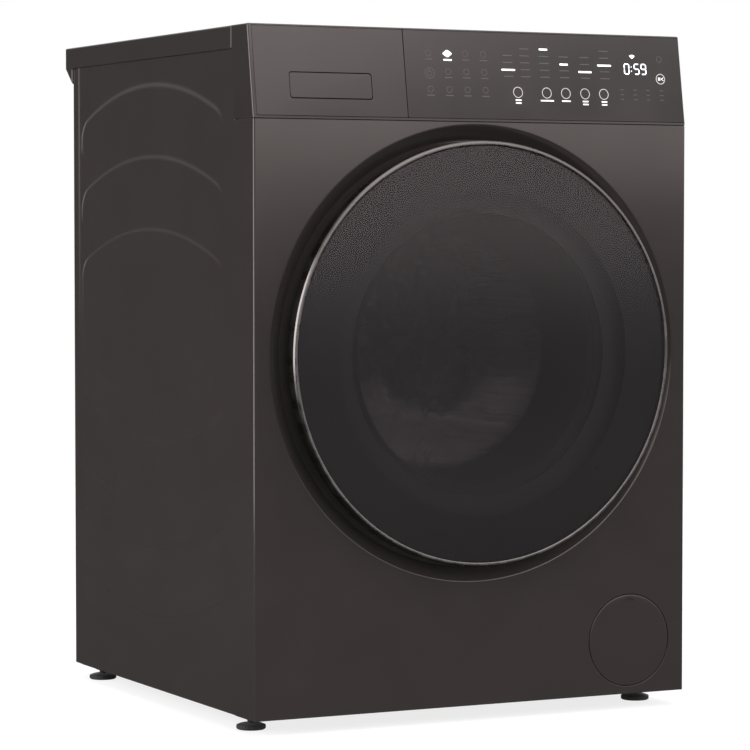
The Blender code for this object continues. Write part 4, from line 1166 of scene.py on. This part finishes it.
# %% [markdown]
# The drum's back is a pressed disc. Six flutes run outwards from the hub and stiffen it against the
# motor's pull. It is turned with many rings, and the points of both skins are then pushed forward
# together, so the sheet keeps its thickness.

# %% Drum back and lifters
DISC_FACE = DRUM_BACK + 0.0002


def flute(radius, turned):
    """How far the disc stands forward at a place: six flutes, thirty degrees off the lifters."""
    along = min(max((radius - 0.060) / 0.020, 0), 1) * min(max((0.205 - radius) / 0.025, 0), 1)
    across = (0.5 + 0.5 * cos(6 * turned + pi)) ** 3
    return 0.0035 * along * across


def build_drum_back():
    face = [(0, DISC_FACE - 0.0110), (0.020, DISC_FACE - 0.0105, 0.03), (0.043, DISC_FACE - 0.0060, 0.008)]
    face += [(0.052, DISC_FACE, 0.008)]
    rings = [(0.058 + 0.0085 * i, DISC_FACE) for i in range(19)]
    groove = [(0.218, DISC_FACE), (0.222, DISC_FACE - 0.0018), (0.229, DISC_FACE - 0.0018),
              (0.233, DISC_FACE)]
    rim = [(WALL_R, DISC_FACE), (WALL_R, DISC_FACE + 0.0012)]
    behind = [(r, d + 0.0012) for r, d in reversed([p[:2] for p in rings + groove])]
    hub = [(0.060, DISC_FACE + 0.0040, 0.001), (0.050, DISC_FACE + 0.0060, 0.001), (0, DISC_FACE + 0.0060)]
    disc = turn("drum_disc", face + rings + groove + rim + behind + hub, (0, DOOR_Z), 180)
    for corner in disc.data.vertices:
        x, z = corner.co.x, corner.co.z - DOOR_Z
        corner.co.y -= flute(hypot(x, z), atan2(z, x) + pi / 2)
    return place(smooth(disc, 40), STAINLESS, "drum", "stainless", "drum_back")


LIFTER_BASE = WALL_R - 0.0012
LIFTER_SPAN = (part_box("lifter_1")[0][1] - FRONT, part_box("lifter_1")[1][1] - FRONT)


def build_lifters():
    """One paddle at the right of the drum, then three copies turned to their places."""
    half = [(-0.0300, 0.0), (-0.0270, 0.0035, 0.004), (-0.0130, 0.0300, 0.030), (-0.0075, 0.0445, 0.007)]
    flank = [(0.0075, 0.0445, 0.007), (0.0130, 0.0300, 0.030), (0.0270, 0.0035, 0.004), (0.0300, 0.0)]
    outline = soften(half + flank, 6)
    places = [(LIFTER_BASE - rise, at(LIFTER_SPAN[0]), DOOR_Z + side) for side, rise in outline]
    paddle = press("lifter", places, (0, LIFTER_SPAN[1] - LIFTER_SPAN[0], 0))
    for corner in paddle.data.vertices:
        rise = LIFTER_BASE - corner.co.x
        if corner.co.y < at(LIFTER_SPAN[0]) + 0.001:
            corner.co.y += 0.55 * rise
    round_edges(paddle, lambda m, w: m.y < at(LIFTER_SPAN[0] + 0.03) and abs(w.y) < 0.3
                and m.x < LIFTER_BASE - 0.012, 0.0045, 4)
    for step in range(6):
        near = LIFTER_SPAN[0] + 0.060 + 0.048 * step
        carve(paddle, block("drip", (LIFTER_BASE - 0.06, LIFTER_BASE - 0.0405), (near, near + 0.026),
                            (DOOR_Z - 0.0022, DOOR_Z + 0.0022)))
    smooth(paddle, 35)
    made = []
    centre = Matrix.Translation((0, 0, DOOR_Z))
    for number, turned in ((1, 90), (2, 210), (3, 330)):
        twin = copies(paddle, ["paddle_%d" % number], [(0, 0, 0)])[0]
        twin.data.transform(centre @ Matrix.Rotation(-radians(turned), 4, "Y") @ centre.inverted())
        made.append(place(twin, STAINLESS, "drum", "stainless", "lifter_%d" % number))
    bpy.data.objects.remove(paddle)
    return made


DRUM_DISC = build_drum_back()
PADDLES = build_lifters()
print("drum back", len(DRUM_DISC.data.polygons), "faces, each lifter", len(PADDLES[0].data.polygons))

# %% [markdown]
# ## The pump hatch
# A round lid closes the pump's filter at the lower right. It sits flush in its hole with a hairline
# gap, and a small notch at its top takes a coin or a fingernail. Behind it is the plug itself, with
# a grip bar and a fluted flange.

# %% Hatch lid and filter plug
def build_hatch():
    radius = HATCH_R
    profile = [(0, -0.0004), (radius - 0.010, -0.0004), (radius, -0.0002, 0.0009), (radius, 0.0024, 0.0003)]
    profile += [(radius - 0.0022, 0.0024), (radius - 0.0022, 0.0018), (0, 0.0018)]
    lid = turn("hatch_lid", profile, (HATCH_X, HATCH_Z), 160)
    top = HATCH_Z + radius
    notch = block("notch", (HATCH_X - 0.0055, HATCH_X + 0.0055), (-0.004, 0.0009),
                  (top - 0.0085, top - 0.0045))
    carve(lid, round_corners(notch, 0.0019, 5))
    return place(smooth(lid, 28), ENAMEL, "filter_hatch", "body_enamel", "filter_cover")


def build_plug():
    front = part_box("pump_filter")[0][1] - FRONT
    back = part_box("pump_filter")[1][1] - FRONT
    profile = [(0, front + 0.020), (0.0270, front + 0.020), (0.0285, front + 0.018, 0.001)]
    profile += [(0.0325, front + 0.018, 0.0012), (0.0325, front + 0.038, 0.0008), (0.0220, front + 0.038)]
    profile += [(0.0220, back, 0.001), (0, back)]
    plug = turn("filter_plug_moulding", profile, (HATCH_X, HATCH_Z), 72)
    for step in range(18):
        x, z = HATCH_X + 0.0338 * cos(pi / 9 * step), HATCH_Z + 0.0338 * sin(pi / 9 * step)
        carve(plug, drum_of("flute", (x, z), 0.0024, (front + 0.012, front + 0.034), 12))
    grip = block("grip", (HATCH_X - 0.0038, HATCH_X + 0.0038), (front, front + 0.021),
                 (HATCH_Z - 0.0238, HATCH_Z + 0.0238), 0.0016, 3)
    carve(plug, grip, how="UNION")
    for step in range(4):
        near = front + 0.046 + 0.0095 * step
        carve(plug, block("lint_way", (HATCH_X - 0.03, HATCH_X + 0.03), (near, near + 0.0045),
                          (HATCH_Z - 0.012, HATCH_Z + 0.012)))
    return place(smooth(plug, 32), DARK, "filter_plug", "dark_plastic", "pump_filter")


HATCH_LID, FILTER_PLUG = build_hatch(), build_plug()
print("hatch lid", len(HATCH_LID.data.polygons), "faces, plug", len(FILTER_PLUG.data.polygons))

# %% [markdown]
# ## The feet
# Each foot is a wide pad with ribs round its rim, a hexagonal lock nut, and a threaded stud. The
# thread is a small saw-tooth profile turned round the stud, which looks right at this size and
# closes cleanly. One foot is modelled and copied to the other corners.

# %% Levelling feet
FEET = ("front_left", "front_right", "rear_left", "rear_right")


def foot_centre(name):
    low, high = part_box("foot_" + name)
    return (low[0] + high[0]) / 2, (low[1] + high[1]) / 2


def build_feet():
    x, y = foot_centre(FEET[0])
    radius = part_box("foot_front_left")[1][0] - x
    profile = [(0, 0), (radius - 0.0015, 0), (radius, 0.0012, 0.0010), (radius, 0.0052, 0.0010)]
    profile += [(radius - 0.0040, 0.0068, 0.0010), (0.0095, 0.0078), (0.0050, 0.0082)]
    threads = 14
    for step in range(threads):
        low = 0.0084 + 0.0313 * step / threads
        profile += [(0.0050, low), (0.0042, low + 0.0156 / threads)]
    profile += [(0.0046, 0.0399), (0, 0.0399)]
    foot = turn("foot", profile, (x, y - FRONT), 48, axis="Z")
    for step in range(24):
        turned = 2 * pi * step / 24
        place_x, place_y = x + (radius + 0.0004) * cos(turned), y + (radius + 0.0004) * sin(turned)
        clear_selection()
        bpy.ops.mesh.primitive_cylinder_add(vertices=8, radius=0.0011, depth=0.02,
                                            location=(place_x, place_y, 0.0122))
        carve(foot, settle(bpy.context.object))
    clear_selection()
    bpy.ops.mesh.primitive_cylinder_add(vertices=6, radius=0.0100, depth=0.0055, location=(x, y, 0.0152))
    nut = bevel(settle(bpy.context.object), 0.0006, 2)
    carve(foot, nut, how="UNION")
    smooth(foot, 35)
    moves = [(foot_centre(name)[0] - x, foot_centre(name)[1] - y, 0) for name in FEET]
    made = copies(foot, ["levelling_foot_" + name for name in FEET], moves)
    bpy.data.objects.remove(foot)
    for name, piece in zip(FEET, made):
        place(piece, BLACK_RUBBER, "foot_" + name, "black_rubber", "foot_" + name)
    return made


LEVELLERS = build_feet()
print("each foot", len(LEVELLERS[0].data.polygons), "faces")

# %% [markdown]
# ## The back
# The back is a thin galvanised sheet with pressed ribs, and a screwed cover over the motor. It is made
# like the sides, from a grid pushed by a height function, but here the sheet stays open in the
# middle, where the faces inside the service opening are deleted before the sheet gets its thickness.

# %% Rear sheet and service cover
SHEET_BACK = BACK
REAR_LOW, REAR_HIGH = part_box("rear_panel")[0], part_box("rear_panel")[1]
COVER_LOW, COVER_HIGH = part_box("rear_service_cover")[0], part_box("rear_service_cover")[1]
SERVICE_X, SERVICE_Z = 0.150, (0.290, 0.640)


def ramp(near, width):
    """1 inside a shape and 0 outside it, with a smooth slope across its border."""
    share = min(max(0.5 - near / width, 0), 1)
    return share * share * (3 - 2 * share)


def snapped(values, marks):
    """Moves the nearest value onto each mark, so that an edge runs along it."""
    values = list(values)
    for mark in marks:
        nearest = min(range(len(values)), key=lambda i: abs(values[i] - mark))
        values[nearest] = mark
    return values


def pressed_sheet(name, xs, zs, depth, height, drop=None):
    """A grid in the X-Z plane, pushed backwards by height(x, z). drop(x, z) chooses faces to remove."""
    clear_selection()
    bpy.ops.mesh.primitive_grid_add(x_subdivisions=len(xs) - 1, y_subdivisions=len(zs) - 1, size=1)
    sheet = settle(bpy.context.object)
    sheet.name = sheet.data.name = name
    for index, corner in enumerate(sheet.data.vertices):
        row, column = divmod(index, len(xs))
        x, z = xs[column], zs[row]
        corner.co = (x, at(depth + height(x, z)), z)
    if drop:
        edit(sheet, "FACE")
        bpy.ops.mesh.select_all(action="DESELECT")
        clear_selection()
        for face in sheet.data.polygons:
            face.select = drop(face.center.x, face.center.z)
        edit(sheet, "FACE")
        bpy.ops.mesh.delete(type="FACE")
        clear_selection()
    if sheet.data.polygons[0].normal.y < 0:
        edit(sheet)
        bpy.ops.mesh.select_all(action="SELECT")
        bpy.ops.mesh.flip_normals()
        clear_selection()
    apply(sheet, "SOLIDIFY", thickness=0.0012, offset=-1)
    return smooth(sheet, 35)


def rear_height(x, z):
    """Shallow ribs beside the service cover, a band above it, and a step round the border."""
    side = abs(x)
    ribs = [((0.186, low), (0.262, low + 0.034), 0.014) for low in (0.300, 0.362, 0.424, 0.486, 0.548)]
    ribs += [((0.000, 0.712), (0.118, 0.790), 0.020), ((0.030, 0.090), (0.252, 0.126), 0.016)]
    ribs += [((0.030, 0.152), (0.252, 0.188), 0.016), ((0.030, 0.214), (0.252, 0.250), 0.016)]
    near = min(rounded_box((side, z), low, high, radius) for low, high, radius in ribs)
    border = rounded_box((side, z), (-0.2720, REAR_LOW[2] + 0.014), (0.2720, REAR_HIGH[2] - 0.014), 0.012)
    return -0.0026 * ramp(near, 0.007) - 0.0012 * ramp(border, 0.006)


def cover_height(x, z):
    """A raised round for the motor, with six spokes pressed into it and a flat screwed rim."""
    middle = (COVER_LOW[2] + COVER_HIGH[2]) / 2
    away, turned = hypot(x, z - middle), atan2(z - middle, x)
    low, high = (-0.146, COVER_LOW[2] + 0.019), (0.146, COVER_HIGH[2] - 0.019)
    bulge = 0.0058 * ramp(rounded_box((x, z), low, high, 0.055), 0.016)
    spokes = (0.5 + 0.5 * cos(6 * turned)) ** 6 * ramp(abs(away - 0.082) - 0.040, 0.014)
    return bulge - 0.0030 * spokes - 0.0026 * ramp(away - 0.030, 0.008)


def build_rear():
    width, tall = REAR_HIGH[0] - REAR_LOW[0], REAR_HIGH[2] - REAR_LOW[2]
    xs = snapped([REAR_LOW[0] + width * i / 176 for i in range(177)], (-SERVICE_X, SERVICE_X))
    zs = snapped([REAR_LOW[2] + tall * i / 240 for i in range(241)], SERVICE_Z)
    sheet = pressed_sheet("rear_sheet", xs, zs, SHEET_BACK, rear_height,
                          lambda x, z: abs(x) < SERVICE_X and SERVICE_Z[0] < z < SERVICE_Z[1])
    return place(sheet, ZINC, "cabinet", "zinc_steel", "rear_panel")


def build_cover():
    xs = [COVER_LOW[0] + (COVER_HIGH[0] - COVER_LOW[0]) * i / 110 for i in range(111)]
    zs = [COVER_LOW[2] + (COVER_HIGH[2] - COVER_LOW[2]) * i / 126 for i in range(127)]
    cover = pressed_sheet("service_cover", xs, zs, COVER_HIGH[1] - FRONT - 0.0008, cover_height)
    return place(cover, ZINC, "cabinet", "zinc_steel", "rear_service_cover")


def build_flange(name, side):
    """The side panel's edge, folded in behind the rear sheet, which is screwed to it."""
    xs = sorted((side * (REAR_HIGH[0] - 0.006), side * (HALF - 0.0040)))
    flange = block(name, xs, (BACK - 0.0050, BACK - 0.0014), (PANEL_LOW + 0.0010, LID_LOW - 0.0010),
                   0.0008, 2)
    return place(flange, ENAMEL, "cabinet", "body_enamel")


REAR_SHEET, SERVICE_COVER = build_rear(), build_cover()
build_flange("left_flange", -1)
build_flange("right_flange", 1)
print("rear sheet", len(REAR_SHEET.data.polygons), "faces, cover", len(SERVICE_COVER.data.polygons))

# %% Screws and transit caps on the back
RIM_SCREWS = [(side * 0.278, z) for side in (-1, 1) for z in (0.058, 0.250, 0.440, 0.630, 0.805)]
RIM_SCREWS += [(x, 0.8125) for x in (-0.150, 0.150)] + [(x, 0.0500) for x in (-0.120, 0.120)]
COVER_SCREWS = [(side * 0.157, z) for side in (-1, 1) for z in (0.284, 0.380, 0.465, 0.550, 0.646)]
COVER_SCREWS += [(0, 0.284), (0, 0.646)]
screw_set("rear_screws", RIM_SCREWS, SHEET_BACK + 0.0023, BRIGHT_STEEL, "cabinet", "zinc_steel", way=1)
screw_set("cover_screws", COVER_SCREWS, COVER_HIGH[1] - FRONT + 0.0014, BRIGHT_STEEL, "cabinet",
          "zinc_steel", way=1)


def build_transit_caps():
    spots = [(side * x, z) for side in (-1, 1) for x, z in ((0.205, 0.772), (0.222, 0.270))]
    low = SHEET_BACK - 0.0010
    profile = [(0, low), (0.0150, low), (0.0150, low + 0.0026, 0.0008), (0.0128, low + 0.0036, 0.0008)]
    profile += [(0.0100, low + 0.0036, 0.0006), (0.0092, low + 0.0020, 0.0006), (0, low + 0.0018)]
    first = turn("transit_caps", profile, spots[0], 40)
    x, z = spots[0]
    rest = copies(first, ["cap"] * 3, [(a - x, 0, b - z) for a, b in spots[1:]])
    return place(join("transit_caps", [first] + rest), GREY, "cabinet", "grey_plastic")


build_transit_caps()
print("rear screws", len(RIM_SCREWS), "cover screws", len(COVER_SCREWS))

# %% [markdown]
# Three connections leave the back: two threaded water inlets, colour coded, and a barbed spigot for
# the drain hose. The mains lead would come out of the ribbed gland below them.

# %% Water, waste and mains
def centre_of(node):
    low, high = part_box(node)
    return ((low[0] + high[0]) / 2, (low[2] + high[2]) / 2), low[1] - FRONT, high[1] - FRONT


def build_inlet(name, node, finish):
    centre, near, far = centre_of(node)
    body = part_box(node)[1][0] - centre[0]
    profile = [(0, near), (body, near, 0.001), (body, SHEET_BACK - 0.0020), (body, SHEET_BACK + 0.0006)]
    profile += [(body, SHEET_BACK + 0.0030, 0.0010), (0.0112, SHEET_BACK + 0.0036)]
    turns = 7
    reach = far - SHEET_BACK - 0.0062
    for step in range(turns):
        here = SHEET_BACK + 0.0042 + reach * step / turns
        profile += [(0.0112, here), (0.0125, here + 0.35 * reach / turns)]
        profile += [(0.0125, here + 0.55 * reach / turns)]
    profile += [(0.0112, far - 0.0012), (0.0108, far), (0.0088, far)]
    profile += [(0.0088, far - 0.010), (0.0020, far - 0.0105)]
    profile += [(0, far - 0.0085)]
    return place(turn(name, profile, centre, 72), finish, "cabinet", "white_plastic", node)


def build_drain():
    centre, near, far = centre_of("drain_outlet")
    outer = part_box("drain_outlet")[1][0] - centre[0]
    profile = [(0, near), (outer, near, 0.001), (outer, SHEET_BACK - 0.0012)]
    profile += [(outer + 0.0035, SHEET_BACK + 0.0002), (outer + 0.0035, SHEET_BACK + 0.0018, 0.0006)]
    profile += [(outer - 0.0016, SHEET_BACK + 0.0022)]
    for step in range(3):
        here = SHEET_BACK + 0.0030 + 0.0044 * step
        profile += [(outer, here), (outer - 0.0016, here + 0.0038)]
    profile += [(outer - 0.0020, far), (outer - 0.0040, far), (outer - 0.0040, far - 0.011), (0, far - 0.011)]
    return place(turn("drain_spigot", profile, centre, 64), GREY, "cabinet", "grey_plastic", "drain_outlet")


def build_gland():
    centre, near, far = centre_of("power_cord_gland")
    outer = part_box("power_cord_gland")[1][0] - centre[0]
    profile = [(0, near), (outer, near, 0.001), (outer, SHEET_BACK - 0.0012)]
    profile += [(outer + 0.004, SHEET_BACK + 0.0002)]
    profile += [(outer + 0.004, SHEET_BACK + 0.0022, 0.0008), (outer - 0.0006, SHEET_BACK + 0.0026)]
    for step in range(3):
        here = SHEET_BACK + 0.0036 + 0.0026 * step
        profile += [(outer - 0.0004 * step, here), (outer - 0.0018 - 0.0004 * step, here + 0.0006)]
        profile += [(outer - 0.0018 - 0.0004 * step, here + 0.0016), (outer - 0.0004 * step, here + 0.0020)]
    profile += [(outer - 0.0020, far), (0.0044, far), (0.0040, far - 0.006), (0, far - 0.006)]
    gland = turn("cord_gland", profile, centre, 56)
    return place(gland, BLACK_RUBBER, "cabinet", "black_rubber", "power_cord_gland")


build_inlet("cold_inlet", "inlet_valve_cold", BLUE)
build_inlet("hot_inlet", "inlet_valve_hot", RED)
build_drain()
build_gland()
print("connections made")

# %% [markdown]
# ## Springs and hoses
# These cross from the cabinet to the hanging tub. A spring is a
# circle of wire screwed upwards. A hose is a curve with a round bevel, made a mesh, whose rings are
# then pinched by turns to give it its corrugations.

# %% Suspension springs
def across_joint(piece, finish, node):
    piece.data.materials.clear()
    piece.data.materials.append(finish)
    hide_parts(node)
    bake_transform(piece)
    return piece


def build_spring(name, node):
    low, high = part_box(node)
    wire, turns = 0.0018, 9
    x, y = (low[0] + high[0]) / 2, (low[1] + high[1]) / 2
    coil = (high[0] - low[0]) / 2 - wire
    climb = high[2] - low[2] - 2 * wire
    clear_selection()
    bpy.ops.mesh.primitive_circle_add(vertices=10, radius=wire, location=(coil, 0, 0),
                                      rotation=(radians(90), 0, 0))
    spring = settle(bpy.context.object)
    spring.name = spring.data.name = name
    apply(spring, "SCREW", axis="Z", angle=2 * pi, screw_offset=climb / turns, iterations=turns,
          steps=28, render_steps=28, use_merge_vertices=False)
    edit(spring, "EDGE")
    bpy.ops.mesh.select_all(action="DESELECT")
    bpy.ops.mesh.select_non_manifold()
    bpy.ops.mesh.edge_face_add()
    clear_selection()
    mend(spring)
    spring.data.transform(Matrix.Translation((x, y, low[2] + wire)))
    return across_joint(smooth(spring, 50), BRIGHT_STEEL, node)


SPRINGS = [build_spring("coil_" + side, "suspension_spring_" + side) for side in ("left", "right")]
print("each spring", len(SPRINGS[0].data.polygons), "faces")

# %% Hoses
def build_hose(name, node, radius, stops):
    """A corrugated hose along a curve through four handles."""
    clear_selection()
    bpy.ops.curve.primitive_bezier_curve_add()
    curve = bpy.context.object
    spline = curve.data.splines[0]
    first, last = spline.bezier_points
    for point in (first, last):
        point.handle_left_type = point.handle_right_type = "FREE"
    first.co, first.handle_right, first.handle_left = stops[0], stops[1], stops[0]
    last.co, last.handle_left, last.handle_right = stops[3], stops[2], stops[3]
    curve.location, curve.rotation_euler, curve.scale = (0, 0, 0), (0, 0, 0), (1, 1, 1)
    curve.data.dimensions = "3D"
    spline.resolution_u = 48
    curve.data.bevel_depth, curve.data.bevel_resolution, curve.data.use_fill_caps = radius, 5, True
    bpy.ops.object.convert(target="MESH")
    hose = settle(bpy.context.object)
    hose.name = hose.data.name = name
    around = 14
    corners = hose.data.vertices
    for number in range(2, len(corners) // around - 2):
        if number % 4 < 2:
            ring_of = corners[number * around:(number + 1) * around]
            middle = sum((c.co for c in ring_of), Vector()) / around
            for corner in ring_of:
                corner.co = middle + (corner.co - middle) * 0.86
    mend(hose)
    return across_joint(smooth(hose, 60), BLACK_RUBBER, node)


TUB_R = 0.272
sump_from = Vector((0.060, at(0.160), DOOR_Z - sqrt(TUB_R**2 - 0.060**2) - 0.006))
sump_to = Vector((HATCH_X - 0.041, at(0.110), HATCH_Z - 0.004))
build_hose("sump_bellows", "sump_hose", 0.013,
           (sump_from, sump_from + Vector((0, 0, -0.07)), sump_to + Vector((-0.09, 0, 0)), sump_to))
fill_from = Vector((-0.195, at(0.3475), 0.7600))
fill_to = Vector((-0.150, at(0.440), DOOR_Z + sqrt(TUB_R**2 - 0.150**2) + 0.010))
build_hose("fill_bellows", "fill_hose", 0.009,
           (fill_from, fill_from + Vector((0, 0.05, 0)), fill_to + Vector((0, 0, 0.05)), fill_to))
print("hoses made")

# %% [markdown]
# ## Working parts that keep their own shape
# What is left inside has plain shapes that are right as they are: the tub, the weights, the motor, the
# dampers, the drawer's tray. Each gets the finish of what it is made of.

# %% Finishes for the carried parts
dress(DARK, "base_frame", "control_module", "drain_pump", "pump_impeller", "door_lock",
      "door_hinge_bracket", "door_hinge_arm")
dress(WHITE, "drawer_housing", "detergent_drawer")
dress(GREY, "tub_front", "tub_rear", "damper_cylinder_left", "damper_cylinder_right")
dress(STONE, "counterweight_upper", "counterweight_lower")
dress(COPPER, "stator")
dress(ZINC, "rotor", "spring_bracket_left", "spring_bracket_right")
dress(BRIGHT_STEEL, "drum_shaft", "front_bearing", "rear_bearing", "heater_element", "door_hook",
      "damper_rod_left", "damper_rod_right")
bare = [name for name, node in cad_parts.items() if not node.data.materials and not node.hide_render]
print("nodes still bare", bare)

# %% [markdown]
# ## Studio and camera
# The machine stands on a pale floor in soft light. What the dark, glossy enamel mirrors matters more
# than what falls on it, so the surroundings are bright above the horizon in front and to the right,
# and dim below it, while the camera itself finds them plain white. A long lens from the front left
# keeps the upright lines nearly parallel.

# %% Floor, lights and camera
FLOOR_PALE, FLOOR_GLOW = 0.25, 0.80
WALL_RISE, WALL_LEVEL, WALL_TOP = (-0.004, 0.040), 2.5, 0.10
BOX_RISE, BOX_LEVEL = (0.302, 0.340), 2.4
BEHIND_LEVEL, DOME_LEVEL = 1.0, 0.6
OVERHEAD_POWER, LEFT_POWER = 20, 108
CAMERA_DEPTH, TILT, PAN, LENS = -3.3938, -2.609, -26.698, 151.27


def floor():
    """A pale disc. Mirrored rays find it dark, so that it doesn't wash out the enamel."""
    clear_selection()
    bpy.ops.mesh.primitive_circle_add(vertices=96, radius=3.2, fill_type="NGON", location=(0, 0.2, 0))
    piece = settle(bpy.context.object)
    piece.name = "studio_floor"
    made = bpy.data.materials.new("studio_floor")
    made.use_nodes = True
    made.node_tree.nodes.remove(made.node_tree.nodes["Principled BSDF"])
    pale = add_node(made, "ShaderNodeBsdfDiffuse")
    pale.inputs["Color"].default_value = (*(FLOOR_PALE,) * 3, 1)
    glow = add_node(made, "ShaderNodeEmission")
    glow.inputs["Strength"].default_value = FLOOR_GLOW
    both = add_node(made, "ShaderNodeAddShader")
    wire(made, pale.outputs["BSDF"], both.inputs[0])
    wire(made, glow.outputs["Emission"], both.inputs[1])
    dim = add_node(made, "ShaderNodeBsdfDiffuse")
    dim.inputs["Color"].default_value = (0.03, 0.03, 0.03, 1)
    ray = add_node(made, "ShaderNodeLightPath")
    mix = add_node(made, "ShaderNodeMixShader")
    wire(made, ray.outputs["Is Glossy Ray"], mix.inputs["Fac"])
    wire(made, both.outputs["Shader"], mix.inputs[1])
    wire(made, dim.outputs["BSDF"], mix.inputs[2])
    wire(made, mix.outputs["Shader"], made.node_tree.nodes["Material Output"].inputs["Surface"])
    piece.data.materials.append(made)


def softbox(name, place_at, aim, size, power):
    data = bpy.data.lights.new(name, "AREA")
    data.shape = "RECTANGLE"
    data.size, data.size_y = size
    data.energy = power
    lamp = bpy.data.objects.new(name, data)
    bpy.context.collection.objects.link(lamp)
    lamp.location = place_at
    lamp.rotation_euler = (Vector(aim) - Vector(place_at)).to_track_quat("-Z", "Y").to_euler()
    return lamp


def surroundings():
    """A studio painted in the direction of each ray: white for the camera, shaped for the rest."""
    world = bpy.data.worlds.new("studio")
    bpy.context.scene.world = world
    world.use_nodes = True
    back = world.node_tree.nodes["Background"]
    back.inputs["Color"].default_value = (1, 1, 1, 1)
    where = add_node(world, "ShaderNodeTexCoord")
    split = add_node(world, "ShaderNodeSeparateXYZ")
    wire(world, where.outputs["Generated"], split.inputs["Vector"])
    rise = split.outputs["Z"]

    def sloped(value, start, stop, low, high):
        ranged = add_node(world, "ShaderNodeMapRange", interpolation_type="SMOOTHSTEP")
        ranged.inputs["From Min"].default_value, ranged.inputs["From Max"].default_value = start, stop
        ranged.inputs["To Min"].default_value, ranged.inputs["To Max"].default_value = low, high
        wire(world, value, ranged.inputs["Value"])
        return ranged.outputs["Result"]

    def worked(how, first, second):
        node = add_node(world, "ShaderNodeMath", operation=how)
        for socket, value in zip(node.inputs, (first, second)):
            if isinstance(value, float):
                socket.default_value = value
            else:
                wire(world, value, socket)
        return node.outputs["Value"]

    def toward(x, y, start, stop):
        dot = add_node(world, "ShaderNodeVectorMath", operation="DOT_PRODUCT")
        wire(world, where.outputs["Generated"], dot.inputs[0])
        dot.inputs[1].default_value = (x, y, 0)
        return sloped(dot.outputs["Value"], start, stop, 0.0, 1.0)

    around = worked("ARCTAN2", split.outputs["X"], worked("MULTIPLY", split.outputs["Y"], -1.0))
    low_wall = worked("MULTIPLY", sloped(rise, *WALL_RISE, 0.0, WALL_LEVEL),
                      sloped(rise, 0.18, 0.30, 1.0, WALL_TOP))
    front = worked("MULTIPLY", low_wall, toward(0.45, -0.89, 0.35, 0.80))
    high_box = worked("MULTIPLY", sloped(rise, *BOX_RISE, 0.0, BOX_LEVEL),
                      sloped(around, 0.40, 0.62, 1.0, 0.4))
    high_box = worked("MULTIPLY", high_box, toward(0.40, -0.60, 0.1, 0.45))
    behind = worked("MULTIPLY", sloped(rise, -0.05, 0.06, 0.0, BEHIND_LEVEL), toward(0.30, 0.95, 0.82, 0.99))
    dome = sloped(rise, 0.05, 0.32, 0.03, DOME_LEVEL)
    total = worked("ADD", worked("ADD", front, high_box), worked("ADD", behind, dome))
    seen = add_node(world, "ShaderNodeLightPath")
    choice = add_node(world, "ShaderNodeMix")
    wire(world, seen.outputs["Is Camera Ray"], choice.inputs["Factor"])
    wire(world, total, choice.inputs["A"])
    choice.inputs["B"].default_value = 1.0
    wire(world, choice.outputs["Result"], back.inputs["Strength"])


def camera():
    data = bpy.data.cameras.new("camera")
    data.sensor_width = 36
    data.lens = LENS
    eye = bpy.data.objects.new("camera", data)
    bpy.context.collection.objects.link(eye)
    eye.location = (-1.8465, at(CAMERA_DEPTH), 0.6033)
    eye.rotation_euler = (radians(90 + TILT), 0, radians(PAN))
    bpy.context.scene.camera = eye


floor()
surroundings()
softbox("overhead", (0.2, -0.4, 2.6), (0, 0, 0.4), (2.2, 2.2), OVERHEAD_POWER)
softbox("left_wall", (-3.0, 0.1, 0.9), (-0.3, 0, 0.45), (2.6, 2.6), LEFT_POWER)
camera()
bpy.context.scene.view_settings.view_transform = "Standard"
print("studio ready")
